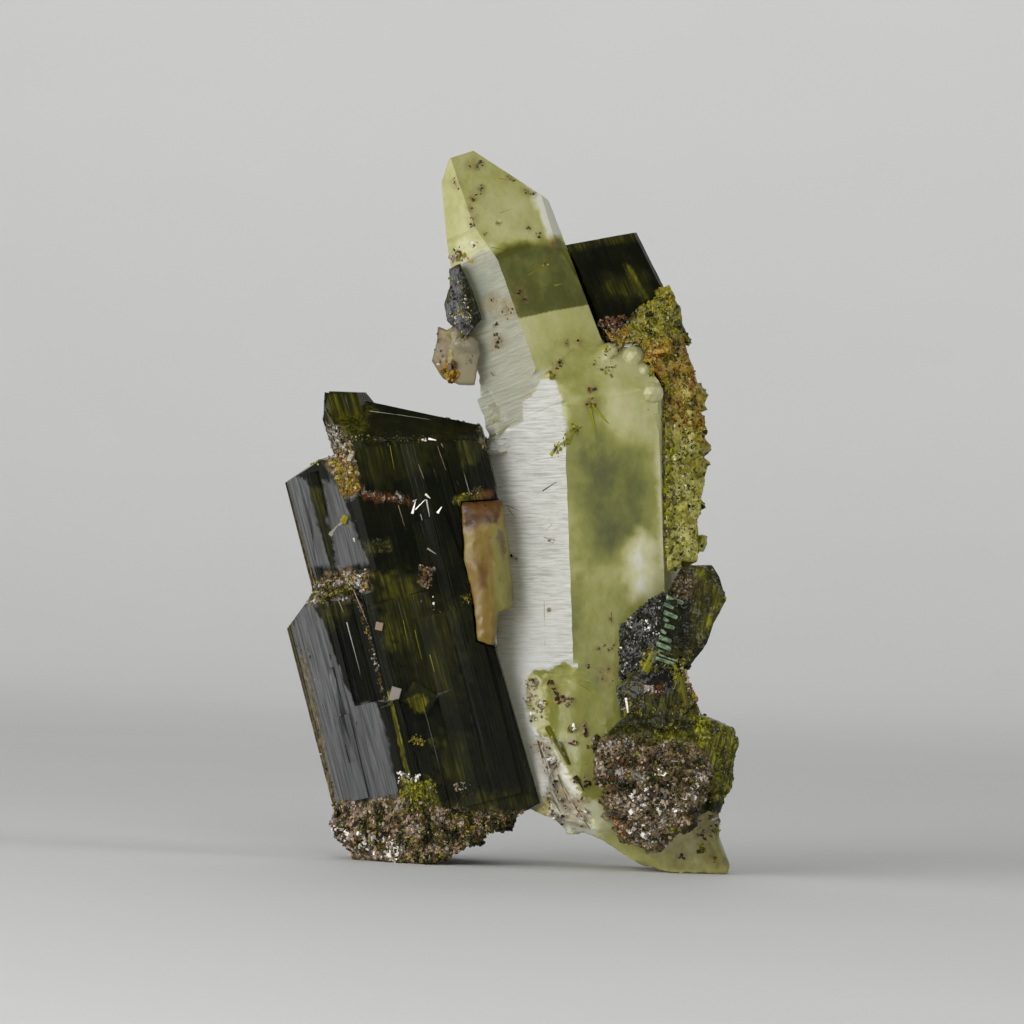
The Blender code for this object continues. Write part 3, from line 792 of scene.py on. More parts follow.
# Where specks of epidote and rust sit in the skin of the quartz, and how far each spreads
DARK_SPECKS = (
    ((-4.2, 53.3), 0.35), ((-3.8, 53.1), 0.2), ((-3.5, 53.4), 0.15), ((-5.5, 52), 0.22),
    ((-5.3, 51.6), 0.22), ((-3.5, 51.2), 0.3), ((-3.4, 51.5), 0.2), ((-3.9, 50.7), 0.3),
    ((-4.2, 49.9), 0.25), ((-3.9, 49.1), 0.32), ((-4, 48.6), 0.2), ((-1.1, 52.3), 0.2), ((0.2, 51.3), 0.25),
    ((0.6, 51.2), 0.2), ((1.2, 48), 0.2), ((0.3, 48.5), 0.15), ((-3, 47.9), 0.15), ((-0.2, 43.6), 0.3),
    ((0.3, 43.1), 0.2), ((-2.2, 42.8), 0.3), ((-1.1, 42), 0.35), ((-1.6, 40), 0.25), ((-1.8, 39.5), 0.3),
    ((-2, 40.3), 0.2), ((3.5, 39.8), 0.2), ((4.5, 40), 0.25), ((2.8, 38.1), 0.32), ((3.1, 38.4), 0.2),
    ((5.4, 36.4), 0.22), ((5.7, 36.5), 0.15), ((5.6, 35.3), 0.35), ((5.2, 35.2), 0.2), ((0, 23.5), 0.12),
    ((0.3, 23.3), 0.1), ((3.6, 13.5), 0.3), ((4.6, 12.8), 0.4), ((4.1, 13), 0.3), ((3.7, 12.8), 0.3),
    ((3.2, 14.1), 0.2), ((5.9, 10.8), 0.3), ((6, 10.3), 0.15), ((6.7, 16.8), 0.22), ((7.8, 17.1), 0.3),
    ((7.6, 16.7), 0.2), ((7.2, 17.1), 0.15), ((7.6, 19), 0.2), ((6.1, 15.5), 0.15), ((5.3, 6.8), 0.25),
    ((6.3, 6.7), 0.25), ((13.7, 1.4), 0.3), ((16.1, 1.1), 0.35), ((2.9, 19.6), 0.1), ((-2, 41), 0.1),
    ((-2, 37.3), 0.1),
)
RUSTY_SPECKS = (
    ((-2.3, 42.8), 0.5), ((-1, 42.2), 0.5), ((-1.6, 39.7), 0.45), ((7.3, 15), 0.55), ((2.7, 9.1), 0.6),
    ((3.4, 7.8), 0.6), ((3.9, 6), 0.5), ((4.7, 4.8), 0.6), ((5.7, 5.3), 0.5), ((14.7, 3.9), 0.7),
    ((15.4, 3), 0.6), ((14.1, 4.5), 0.6), ((3.3, 5.2), 0.5), ((4.3, 3.7), 0.4), ((12.3, 3.9), 0.4),
    ((5, 9.7), 0.3),
)


# Where the quartz stands out or is worn, from the flank to the root
SWOLLEN_FLANK = Region(
    ((-5.1, 36.9), (-3.3, 37.1), (-0.9, 33.5), (-0.8, 31.4), (-2.5, 31.4), (-3.6, 34.1)), 1.0, 0.5, 0.1,
)
ROUND_SHOULDER = Region(
    (
        (1.3, 36.9), (2.4, 39.1), (5.3, 40.4), (6.2, 39.6), (6.4, 38.2), (8.1, 37.7), (8.6, 36.3),
        (9.2, 35.6), (10.2, 34.7), (10.5, 33.7), (3.7, 33.4), (3.2, 35.7),
    ),
    1.0, 0.8, 0.0,
)
# Borders between painted faces, where short edges keep them clear
CLEAR_EDGES = (
    ((-0.7, 42), (2.5, 42.8), (4, 43.1), (5.3, 43.5), (5.6, 42.6), (4.1, 42.1), (2.6, 41.8), (-0.2, 41.1)),
    (
        (-1.5, 33.1), (0.4, 34.1), (0.1, 35.6), (1.7, 37.2), (2.6, 37.3), (3.6, 35.5), (2, 36.4),
        (0.7, 35.1), (0.9, 33.6), (-0.9, 32.5), (-1.4, 31.9),
    ),
    (
        (1, 14.2), (1.5, 15.4), (3.8, 16.4), (5.1, 15), (3.9, 14.6), (2.1, 14.3), (2.2, 11.2), (4.1, 6.3),
        (3.2, 3.8), (2.6, 5), (3, 6.4), (1.6, 10.1),
    ),
)
SHELL_BREAK = Region(
    (
        (4.8, 15.3), (4.3, 15.8), (3.7, 15.5), (3, 15), (2, 15), (1.4, 14.4), (1.4, 12.7), (1.8, 11.1),
        (2.6, 9.9), (3.2, 7.9), (3.8, 6.3), (3.2, 5.2), (3.1, 4.3), (4.3, 3), (6.8, 2.6), (8.2, 5.4),
        (7.4, 9.9), (6.4, 13.6),
    ),
    0.0, 0.5, 0.25, 0.8,
)
CHIPPED_EDGE = Region(
    ((2.3, 9.9), (3, 9.7), (5.1, 6), (6.9, 3.4), (6.2, 2.6), (3.7, 3.5), (3.9, 6.3)), 1.0, 0.2, 0.3,
)
WORN_ROOT = Region(
    ((8.2, 5.4), (10.4, 2), (14.9, 4.7), (16.5, 5.7), (17.7, 0), (12, 0.1), (7.4, 2.2)), 0.4, 0.8, 0.6,
)
# How milky the quartz is, from 0, clear and dark, to 1, white; a few regions instead hold
# painted light and painted shade, as marked
QUARTZ_CLOUDS = (
    Region(((-6.6, 54.9), (-0.5, 53.6), (3.9, 46.9), (-1, 45.8), (-4.6, 45.7)), 0.55, 0.8, 0.4, 1.5),
    Region(
        ((-6.8, 51.8), (-6, 52.9), (-5.5, 51.7), (-5, 50.8), (-4.8, 47.1), (-5.7, 46.6)), 0.5, 0.25, 0.15,
    ),
    Region(
        ((-5.4, 47.1), (-4.1, 47.5), (-2.9, 47.4), (-1.8, 46.6), (-1.8, 45.8), (-3.2, 46.7), (-4.6, 45.5)),
        0.72, 0.3, 0.35,
    ),
    # Painted light: the right facet of the upper tip, painted near white where the light from the right falls
    Region(((0, 52.1), (1.4, 51.7), (3.9, 47.7), (1.9, 47.4), (1.5, 48.9), (0.6, 50.6)), 1.1, 0.2, 0.12),
    # Painted shade: a dark band where the dark rear epidote shows through the quartz
    Region(
        ((-2.7, 46.1), (-1.5, 47), (-0.2, 47.5), (1.8, 47.6), (2.7, 47.9), (6, 41.7), (-0.1, 41)), 0.02, 0.7,
        0.3, 1.0,
    ),
    Region(
        ((-0.4, 41.5), (2.5, 42.3), (4, 42.6), (5.5, 43), (6.8, 39.8), (1.9, 37.6), (0.7, 37.9)), 0.54, 0.06,
        0.03,
    ),
    Region(((0.9, 38.5), (3, 40.2), (6.5, 40.5), (7.6, 38.7), (6.2, 35.6), (3.3, 35.5)), 0.4, 1.6, 0.5, 1.2),
    Region(
        ((6.1, 39.4), (9.4, 40.3), (11.2, 35.8), (10.9, 32.4), (9.3, 32.7), (7, 33.4), (6.2, 36.4)), 0.62,
        1.2, 0.4, 1.5,
    ),
    Region(((3.3, 35.7), (6.2, 35.5), (6.6, 32.6), (3.8, 31.7)), 0.32, 1.2, 0.5, 1.2),
    Region(
        (
            (4.4, 31.4), (6.3, 32.6), (9.4, 31.9), (10.4, 29), (10.2, 25.9), (8.3, 23.6), (5.7, 22.7),
            (4.5, 26.5),
        ),
        0.08, 2.6, 0.8, 2.0,
    ),
    Region(((4.5, 22.3), (8.2, 22.8), (9.8, 20.6), (8.5, 14.5), (5.1, 12.8)), 0.36, 1.5, 0.6, 2.0),
    Region(((3.6, 22.3), (5.2, 22.3), (5.5, 15.9), (4.3, 15.8)), 0.2, 0.8, 0.4),
    # Painted highlight: a soft white glow on the front right face of the lower quartz
    Region(((8.6, 24.5), (9.6, 25.6), (10.4, 24.6), (10.3, 21.2), (9.2, 20.7)), 1.0, 1.3, 0.5, 1.2),
    # Painted light: the right edge of the lower quartz and the seam beside it, painted lighter where they lie
    # in shade
    Region(((10.4, 33.5), (11, 33.5), (11.8, 23.7), (11.2, 23.7)), 0.68, 0.3, 0.2),
    Region(((10.5, 38.2), (11.6, 38.2), (12.4, 23.1), (11.3, 23.1)), 0.74, 0.2, 0.1),
    Region(((1.3, 15.1), (6.9, 16.3), (10.8, 13), (8.8, 5.4), (4.3, 3), (1.9, 8.2)), 0.3, 1.0, 0.4, 1.5),
    Region(((1.5, 14.8), (2.6, 14.6), (3.2, 10.1), (2, 10.6)), 0.75, 0.5, 0.5, 0.4),
    Region(
        ((2.3, 10.1), (3.2, 9.9), (5.7, 6), (7.5, 3.1), (6.3, 2.3), (3.7, 3.2), (3.3, 6)), 1.2, 0.2, 0.4,
        0.4,
    ),
    Region(((5.1, 5.6), (7.3, 5.3), (8.3, 3.1), (7.1, 2.6)), 0.9, 0.4, 0.3, 0.4),
    Region(((14.1, 6.3), (17.1, 6.5), (17.8, 0), (15, 0.2)), 0.22, 0.6, 0.4),
    Region(((7.4, 3.1), (12, 1.7), (15, 0.9), (17.7, 0.6), (17.7, -0.3), (10.5, 0.3)), 0.42, 0.6, 0.4),
)
# The striated left faces, which are frosted, and painted white as a painted reflection of the light from the
# left
UPPER_LEFT_FACE = (
    (-4.8, 45.5), (-3.2, 46.8), (-1.8, 46.3), (3, 40.8), (1.6, 36.9), (1.2, 36.1), (0.3, 35.3), (0.4, 33.8),
    (-0.8, 33.2), (-1.4, 32.4), (-2.4, 31.7), (-4.4, 35.9), (-5.4, 40.5), (-5.5, 45.1),
)
QUARTZ_FROST_AND_SHEEN = (
    Region(
        (
            (-1.3, 32.5), (-0.9, 33.3), (-0.2, 33.4), (0.4, 33.8), (0.3, 35.4), (1, 35.7), (1.3, 36.2),
            (1.6, 37), (2.5, 37.1), (2.9, 36.7), (3.3, 35.4), (3.6, 33.6), (3.8, 31.4), (6.4, 30.9),
            (6.9, 15.3), (4.8, 15.3), (4.3, 15.8), (3.7, 15.5), (3, 15), (2, 15), (1.4, 14.4), (1.4, 12.7),
            (1.8, 11.1), (2.6, 9.9), (3.2, 7.9), (3.8, 6.3), (3.2, 5.2), (2, 4.2), (-1.9, 8), (-3.1, 20.1),
            (-2.4, 32.3),
        ),
        1.0, 0.08, 0.12,
    ),
    Region(UPPER_LEFT_FACE, 0.85, 0.06, 0.06),
)
# How rusty its skin is
QUARTZ_STAINS = (
    Region(((1.7, 47.9), (2.4, 48.1), (2.7, 47.3), (1.8, 47.1)), 0.5, 0.3, 0.2),
    Region(((14.6, 5), (16.1, 4.8), (15.9, 2.2), (15.3, 1.8), (14.3, 3.3)), 0.9, 0.4, 0.5),
    Region(((2.3, 9.6), (2.9, 9.6), (4.2, 6.7), (3.6, 6.3)), 0.6, 0.15, 0.5, 0.35),
    Region(((3.6, 6.1), (4.7, 6), (6.6, 3.3), (5.1, 3.3)), 0.6, 0.15, 0.7, 0.35),
    Region(((-2.7, 43), (-0.7, 43), (-0.5, 41.6), (-2.1, 41.7)), 0.35, 0.2, 0.7, 0.35),
    Region(((-5, 40.2), (-3.5, 40.2), (-3, 38.9), (-4.4, 38.9)), 0.5, 0.3, 0.4, 0.5),
    Region(((3, 14), (3.9, 13.6), (4.8, 12.4), (3.7, 12.6)), 0.7, 0.1, 0.3, 0.3),
    Region(((6.8, 15.6), (7.8, 15.4), (7.6, 14.1), (6.9, 14.4)), 0.9, 0.3, 0.3, 0.4),
    Region(((1.7, 40), (4.1, 40.1), (6, 39.8), (3.8, 39.3)), 0.25, 0.3, 0.4),
    Region(((10.4, 2.8), (14.8, 5.6), (17.7, 0), (11.3, 0)), 0.35, 0.8, 0.6),
    Spots([(spot, radius * 1.6) for spot, radius in DARK_SPECKS + RUSTY_SPECKS], 0.6),
)


def shape_quartz(bm):
    """Striates the left faces, rounds the shoulder and breaks the foot like shell."""
    laths(
        bm, LOWER_LEFT_FACET, LOWER_LEFT_FACET.cross(LOWER_QUARTZ), widths=(0.2, 1.4),
        heights=(-0.012, 0.0, 0.012), tilts=(-0.03, 0.0, 0.03), rows=0, seed=11,
        zone=lambda middle: middle.z < 35,
    )
    laths(
        bm, UPPER_LEFT_FACET, UPPER_LEFT_FACET.cross(UPPER_QUARTZ), widths=(0.15, 0.9),
        heights=(-0.015, 0.0, 0.015), tilts=(-0.05, 0.0, 0.05), rows=0, seed=12,
        zone=lambda middle: 30 < middle.z < 46,
    )
    fine_faces(bm, 0.4, front_side)
    press(bm, SWOLLEN_FLANK, depth=-0.8, grain=1.2, seed=8)
    press(bm, ROUND_SHOULDER, depth=0.05, grain=2.0, seed=9, rounds=40)
    for edge in CLEAR_EDGES:
        fine_faces(bm, 0.16, Region(edge, 1.0, 0.1, 0.0).mask)
    press(bm, SHELL_BREAK, depth=0.2, grain=3.0, seed=2, rounds=30)
    press(bm, CHIPPED_EDGE, depth=0.2, grain=0.5, seed=3)
    press(bm, WORN_ROOT, depth=0.2, grain=1.6, seed=4, rounds=4)


def frost_and_sheen_of(face):
    """How frosted a face is by itself, and so painted white as a reflection of the light from the left:
    only behind, where it looks left.
    """
    return leftward(face) if face.normal.y > FRONT_LOOK else 0.0


def quartz_crystals():
    """Both quartz prisms and their root."""
    bm = facets_of("quartz_pair")
    shape_quartz(bm)
    paint(bm, "cloud", lambda face: 0.50, QUARTZ_CLOUDS)
    # Frosting and painted reflection: white on the striated left faces
    paint(bm, "frost", frost_and_sheen_of, QUARTZ_FROST_AND_SHEEN, lambda normal: normal.x < 0.15)
    paint(bm, "upper", nothing, (Region(UPPER_LEFT_FACE, 1.0, 0.06, 0.06),))
    paint(bm, "stain", nothing, QUARTZ_STAINS)
    return finish_piece(bm, "quartz_crystals", quartz_finish(), "quartz", "quartz_pair")


# The broken foot, the knobs on the peak and the seam between two blocks
LEFT_FOOT = Region(
    (
        (-14.5, 3.7), (-12, 4.2), (-9.7, 4.5), (-8.3, 5.1), (-7, 4.7), (-4.8, 4.3), (-2.5, 4.1), (3.4, 4.3),
        (3.4, 3.4), (1, 2.4), (-1.4, 1.4), (-5, -0.1), (-9.8, -0.3), (-13.4, 1.4),
    ),
    1.0, 0.3, 0.5,
)
LEFT_KNOBS = Region(
    ((-14.9, 33), (-13.3, 33), (-12.1, 29.7), (-11.6, 28.2), (-12.8, 27.4), (-14.1, 29.6), (-14.8, 30.7)),
    1.0, 0.3, 0.3,
)
LEFT_SEAM = Region(
    ((-16, 20.6), (-13.8, 22), (-11.1, 22), (-10.6, 20.6), (-12.6, 19.8), (-15.6, 19.4)), 1.0, 0.3, 0.4,
)
# Where the left epidote has a painted sheen, the reflection of the light from the left
LEFT_PAINTED_SHEENS = (
    Region(
        ((-17.5, 29.2), (-15.9, 28.8), (-15, 25.8), (-13.8, 22.3), (-15.6, 22.1), (-17, 25.7)), 1.0, 0.1,
        0.12,
    ),
    Region(((-14.6, 28.8), (-13.4, 28.6), (-12.2, 25.5), (-10.9, 22.7), (-13.3, 22)), 0.85, 0.1, 0.15),
    Region(
        (
            (-16, 19.2), (-15.1, 19.4), (-13.9, 17.5), (-12.6, 14), (-11.5, 11.8), (-10.7, 12.1),
            (-9.9, 12.2), (-8.9, 8.9), (-8, 5.2), (-8, 4.3), (-13.1, 3.4), (-15.6, 9.1), (-16.9, 16.6),
        ),
        1.0, 0.1, 0.12,
    ),
    Region(((-14, 29), (-12.4, 25.9), (-13.1, 23.9), (-14.2, 25.8)), 0.9, 0.2, 0.2),
    Region(((-14.8, 32.7), (-13.4, 32.8), (-12.7, 30.5), (-14.1, 30.3)), 0.8, 0.3, 0.4, 0.4),
    Region(((-13, 29), (-12.4, 29), (-12, 27.4), (-12.5, 27.4)), 0.6, 0.1, 0.1),
)
# How olive it is, from 0, black, to 1, bright
LEFT_OLIVES = (
    Region(
        ((-15, 35.5), (-11.6, 35.9), (-10.5, 34.6), (-11.4, 32.3), (-13.4, 31.9), (-14.9, 33)), 0.62, 0.9,
        0.6,
    ),
    Region(((-11.2, 34.1), (-2.8, 33.2), (-2.9, 32.3), (-11, 32.1)), 0.22, 0.4, 0.3),
    Region(((-13, 31.9), (-5.8, 32.2), (-6.5, 29.9), (-11.7, 28.2)), 0.42, 1.2, 0.8),
    Region(((-4.6, 32.2), (-2.8, 32.2), (-2.6, 30.6), (-4.1, 30)), 0.6, 0.3, 0.3),
    Region(((-4.7, 27.7), (-2.4, 28.6), (-2, 28.1), (-3.8, 27.2)), 0.9, 0.3, 0.4),
    Region(((-11.6, 24.4), (-9.5, 24.4), (-9.1, 23.6), (-11.1, 23.2)), 0.62, 0.3, 0.4),
    Region(((-15.9, 28.3), (-14.6, 28.4), (-13.2, 22.3), (-13.9, 22.2)), 0.45, 0.3, 0.4),
    Region(((-17, 19.2), (-15.8, 19.7), (-15.5, 16.7), (-16.1, 15.1), (-16.9, 16.6)), 0.75, 0.3, 0.4, 0.4),
    Region(((-15.1, 20.3), (-12.6, 20.7), (-12.2, 18.9), (-13.6, 17.5), (-14.6, 19)), 0.58, 0.6, 0.6),
    Region(((-10.6, 21.8), (-7, 22), (-6.5, 19.3), (-8.2, 15.4), (-9.4, 16.9)), 0.66, 1.0, 0.8),
    Region(((-8.4, 19.9), (-3.1, 20.1), (-4, 12.5), (-7.4, 13.2)), 0.42, 1.5, 1.0),
    Region(((-7.8, 12.5), (-6.9, 12.9), (-5.9, 12.6), (-6.2, 11.5), (-7, 11.3)), 0.84, 0.06, 0.05),
    Region(((-5.9, 9.6), (-5.5, 9.7), (-5.1, 9.4), (-5.2, 8.9), (-5.7, 8.9)), 0.85, 0.12, 0.08),
    Region(((-9.2, 13.1), (-8.9, 13.1), (-7.1, 6.7), (-7.4, 6.4)), 1.2, 0.05, 0.05),
    Region(((-7.9, 6.5), (-5.3, 6.4), (-4.7, 4.3), (-7.7, 3.9)), 0.92, 0.4, 0.5, 0.5),
    Region(((-2.6, 5.7), (2, 5.9), (2.6, 4.3), (-4.8, 4)), 0.5, 0.6, 0.5),
    Region(((-5, 10.2), (-2.7, 9.5), (-2.6, 5.7), (-5, 6.4)), 0.45, 1.0, 0.8),
    Region(((-13.7, 12.2), (-12.1, 7.7), (-12.5, 6.1), (-14, 10.6)), 0.25, 0.5, 0.6),
)
# How rusty it is
LEFT_STAINS = (
    Region(((-11.6, 28), (-7.8, 27.8), (-7.8, 27.2), (-11.4, 27.5)), 0.9, 0.15, 0.3, 0.3),
    Region(((-3.4, 28.3), (-1.7, 28.7), (-1.5, 26.3), (-2.2, 27.7)), 0.8, 0.2, 0.3),
)
# How crusted it is
LEFT_CRUSTED = (
    LEFT_FOOT,
    LEFT_KNOBS,
    LEFT_SEAM,
    Region(((-3.2, 34.4), (-1.8, 33.8), (-1.6, 31.7), (-2.5, 31.7)), 0.8, 0.1, 0.1),
    Region(((-16, 15.5), (-15.5, 15.5), (-12.8, 4.2), (-13.6, 4.1)), 0.7, 0.2, 0.3, 0.4),
)


# A groove low on the left epidote: where the corners of its floor are, and the y they are brought to
GROOVE_LOW, GROOVE_HIGH = (-12.9, -1.81, 7.3), (-11.2, -1.77, 11.1)
GROOVE_FLOOR = -2.5
STEEP_TILTS = (-0.12, -0.05, 0.0, 0.0, 0.0, 0.05, 0.12)


def front_or_foot(point):
    """A zone that is the front of the left epidote and all of its foot."""
    return 1.0 if point.y < FRONT_DEPTH or point.z < 4.0 else 0.0


def shape_left_epidote(bm):
    """Striates the blocks and breaks up the foot, the knobs and the seam."""
    for vert in bm.verts:
        if all(low < part < high for low, part, high in zip(GROOVE_LOW, vert.co, GROOVE_HIGH)):
            vert.co.y = GROOVE_FLOOR
    laths(
        bm, TO_FRONT, LEFT_EPIDOTE, widths=(0.10, 1.8), heights=(-0.02, 0.0, 0.0, 0.02),
        tilts=(-0.1, 0.0, 0.0, 0.0, 0.1), rows=2, seed=21, spread=0.9,
    )
    for direction, widths, heights, rows, seed in (
        (EPIDOTE_LEFT_FRONT, (0.15, 1.2), (-0.04, 0.0, 0.0, 0.03), 0, 22),
        (EPIDOTE_LEFT_SIDE, (0.15, 1.2), (-0.06, 0.0, 0.05), 0, 23),
        (TO_BACK, (0.2, 1.8), (-0.08, 0.0, 0.05), 3, 24),
    ):
        laths(bm, direction, LEFT_EPIDOTE, widths, heights, STEEP_TILTS, rows, seed, spread=0.9)
    fine_faces(bm, 0.4, front_or_foot)
    press(bm, LEFT_FOOT, depth=0.15, grain=0.7, seed=4)
    press(bm, LEFT_KNOBS, depth=0.15, grain=0.5, seed=5)
    press(bm, LEFT_SEAM, depth=0.12, grain=0.5, seed=6)


def olive_front(base):
    """A base that is one number in front, and the number that all the epidote has behind."""
    return lambda face: base if shows_in_front(face.normal) else BACK_OLIVE


def left_epidote():
    """The striated black-green crystal of three blocks."""
    bm = facets_of("epidote_left")
    shape_left_epidote(bm)
    # Painted sheen on the faces behind that look left, and on the regions in front
    paint(bm, "silver", lambda face: leftward(face) if face.normal.y > 0.0 else 0.0, LEFT_PAINTED_SHEENS)
    paint(bm, "olive", olive_front(0.06), LEFT_OLIVES)
    paint(bm, "stain", nothing, LEFT_STAINS)
    paint(bm, "crust", lambda face: 1.0 if face.calc_center_median().z < 1.5 else 0.0, LEFT_CRUSTED)
    finish = epidote_finish("striated epidote", -16.6)
    return finish_piece(bm, "left_epidote", finish, "epidote", "epidote_left")


def dark_crystal(bm, node, name, turn, base, olives, painted_sheens=(), crusted=(), stains=()):
    """Paints a smaller epidote crystal. The base is how olive its front is."""
    paint(bm, "olive", olive_front(base), olives)
    # Painted sheen, only in the regions given
    paint(bm, "silver", nothing, painted_sheens)
    paint(bm, "stain", nothing, stains)
    paint(bm, "crust", nothing, crusted)
    return finish_piece(bm, name, epidote_finish(name.replace("_", " "), turn), "epidote", node)


def rear_crystal():
    """The dark crystal behind the upper quartz."""
    bm = facets_of("epidote_rear")
    roughen(bm, everywhere, edge_length=0.5, height=0.02, grain=2.0, seed=5)
    olives = (
        Region(((2.7, 47.6), (8.7, 48.8), (8.9, 48), (5.8, 47.4), (3.2, 46.6)), 0.55, 0.4, 0.2),
        Region(((5.9, 45), (9.3, 45.6), (10.1, 44), (7.8, 43.3), (6, 43.8)), 0.42, 0.8, 0.5),
        Region(((7.5, 46.1), (8.1, 46), (9.8, 43.5), (9.2, 43.3)), 0.9, 0.15, 0.15),
        Region(((8.9, 48.2), (9.5, 47.9), (12.8, 42.7), (11.2, 43.4)), 0.42, 0.6, 0.4),
    )
    return dark_crystal(bm, "epidote_rear", "rear_epidote_crystal", -25, 0.06, olives)


# The sparkling broken end of the foot crystal
FOOT_END = Region(
    (
        (5.6, 10.2), (8.2, 10.2), (10.1, 10), (13.9, 9.8), (15, 9.3), (15.7, 7.9), (15.4, 6), (14.1, 4.5),
        (12.3, 1.7), (10.4, 1.7), (8.1, 2.6), (7.3, 4.7), (6.5, 6.5), (5.7, 7.9),
    ),
    1.0, 0.3, 0.4,
)
BLUNT_SIDE, BLUNT_HEIGHT = 6.9, 6.0  # its left corner is blunt, beyond this and above this
BLUNTNESS = 0.25  # how much of the corner is left


def foot_crystal():
    """The broken epidote low in front."""
    bm = facets_of("epidote_foot")
    for vert in bm.verts:
        if vert.co.x < BLUNT_SIDE and vert.co.z > BLUNT_HEIGHT:
            vert.co.x = BLUNT_SIDE + (vert.co.x - BLUNT_SIDE) * BLUNTNESS
    roughen(bm, everywhere, edge_length=0.3, height=0.12, grain=0.9, seed=6)
    olives = (
        Region(((9.9, 15.7), (12.4, 16), (12.6, 14.2), (10.2, 13.9)), 0.0, 0.15, 0.15),
        Region(((8.5, 13), (14.6, 12.8), (15.5, 9.8), (7.1, 9.5)), 0.48, 0.6, 0.5),
        Region(
            ((13.8, 12.6), (17.7, 11.8), (17.9, 8.8), (17, 5.7), (15.3, 6.4), (14.7, 9.8)), 1.15, 0.5, 0.6,
        ),
        Region(((9.2, 10.7), (13.9, 11), (13.9, 9.7), (9.4, 9.5)), 0.85, 0.4, 0.4),
        Region(((12.4, 15.5), (13.1, 15.1), (13.7, 12), (12.8, 12.5)), 0.9, 0.2, 0.2),
        Region(((10, 13.6), (14.6, 13.8), (14.6, 12.3), (10.8, 12.1)), 0.72, 0.5, 0.6),
    )
    stains = (Region(((10.1, 14.2), (11.7, 14.3), (11.5, 13.6), (10.3, 13.6)), 0.6, 0.3, 0.4, 0.4),)
    return dark_crystal(
        bm, "epidote_foot", "foot_epidote_crystal", 10, 0.40, olives, crusted=(FOOT_END,), stains=stains,
    )


def sheaf():
    """The epidote sheaf on the right."""
    bm = facets_of("epidote_fan")
    roughen(bm, everywhere, edge_length=0.3, height=0.07, grain=0.8, seed=7)
    olives = (
        Region(
            (
                (13, 23.3), (15.1, 23.5), (15.9, 21.6), (16.4, 20.8), (15.3, 18.5), (14.4, 17.3),
                (13.5, 17.7), (13.7, 20.7),
            ),
            0.76, 0.5, 0.3,
        ),
        Region(((9.9, 17), (10.6, 17.4), (11.3, 16.5), (10.3, 15.2)), 1.0, 0.15, 0.15),
        Region(((11.3, 16.9), (14.4, 17.4), (13.3, 15.6), (11.6, 15.7)), 0.6, 0.3, 0.3),
        Region(((10.3, 16.4), (12.3, 16.7), (12.4, 14.9), (10, 14.5)), 0.0, 0.15, 0.15),
        Region(
            ((8.2, 18.6), (10.5, 20.8), (11.3, 19.9), (11, 16.8), (9.4, 14.2), (8.3, 14.3)), 0.05, 0.2, 0.2,
        ),
    )
    stains = (Region(((11.8, 22.8), (14.2, 22.7), (14, 20.7), (12.2, 20.8)), 0.35, 0.4, 0.4, 0.4),)
    return dark_crystal(bm, "epidote_fan", "epidote_sheaf", 15, 0.30, olives, stains=stains)


def shoulder_crystal():
    """The small crystal on the upper left of the quartz, with a painted sheen on its left faces."""
    bm = facets_of("epidote_shoulder")
    roughen(bm, everywhere, edge_length=0.2, height=0.06, grain=0.5, seed=9)
    olives = (Region(((-5.9, 43.5), (-5.3, 44), (-5.2, 42.4), (-5.7, 41.9)), 0.6, 0.15, 0.2),)
    # Painted sheen: the reflection of the light from the left, on the left faces
    painted_sheens = (
        Region(
            ((-5.5, 45.1), (-4.9, 45.2), (-4.5, 42.8), (-3.8, 40.6), (-4.4, 39.9), (-5.3, 42)), 1.0, 0.15,
            0.4, 0.25,
        ),
        Region(((-6, 42.5), (-5.5, 42.6), (-5.2, 41.4), (-5.7, 41.4)), 1.0, 0.15, 0.3, 0.25),
    )
    return dark_crystal(bm, "epidote_shoulder", "shoulder_epidote_crystal", -15, 0.30, olives, painted_sheens)


# How pale the grainy epidote is, and how rusty
COLUMN_PALES = (
    Region(((8.9, 44.1), (12.7, 43.4), (13, 39.7), (7.6, 39.5), (6.3, 40.9)), 0.36, 0.8, 0.5),
    Region(((10, 34.2), (14.4, 34.4), (14.8, 23), (10.8, 22.9)), 0.72, 1.4, 0.6),
    Region(((12.4, 37), (13, 36.8), (13.6, 32.1), (13.1, 31.9)), 1.1, 0.2, 0.2),
    Region(((13.2, 35.9), (14.4, 35.9), (14.6, 29.9), (13.8, 29.8)), 0.5, 0.3, 0.3),
)
COLUMN_STAINS = (
    Region(((6, 42.1), (8.1, 42.2), (8.3, 39.9), (6.3, 39.8)), 1.0, 0.4, 0.4),
    Region(((9, 40.4), (12.8, 40.8), (13.3, 37.2), (10.7, 36.4), (9.1, 37.6)), 0.85, 0.8, 0.8, 0.6),
    Region(((10.7, 37.3), (14.2, 37.1), (14.3, 32.9), (11.4, 33.5)), 0.6, 0.8, 0.9, 0.6),
)


def granular_column():
    """The grainy epidote on the right of the quartz, brown and amber above, pale below."""
    bm = facets_of("epidote_granular")
    roughen(bm, everywhere, edge_length=0.3, height=0.12, grain=0.7, seed=8)
    paint(bm, "olive", lambda face: 0.55, COLUMN_PALES)
    paint(bm, "stain", nothing, COLUMN_STAINS)
    smooth_all(bm)
    return finish_piece(bm, "granular_column", granular_finish(), "granular_epidote", "epidote_granular")


# The face of the tan chip and of the amber wedge, which are filled out
CHIP_FACE = Region(((-5.7, 41.4), (-3.4, 41.5), (-3.2, 38.9), (-4.9, 39.2)), 1.0, 0.3, 0.1)
WEDGE_FACE = Region(((-4.5, 28), (0, 28.2), (1.2, 15.7), (-4.1, 15.5)), 1.0, 0.1, 0.0)


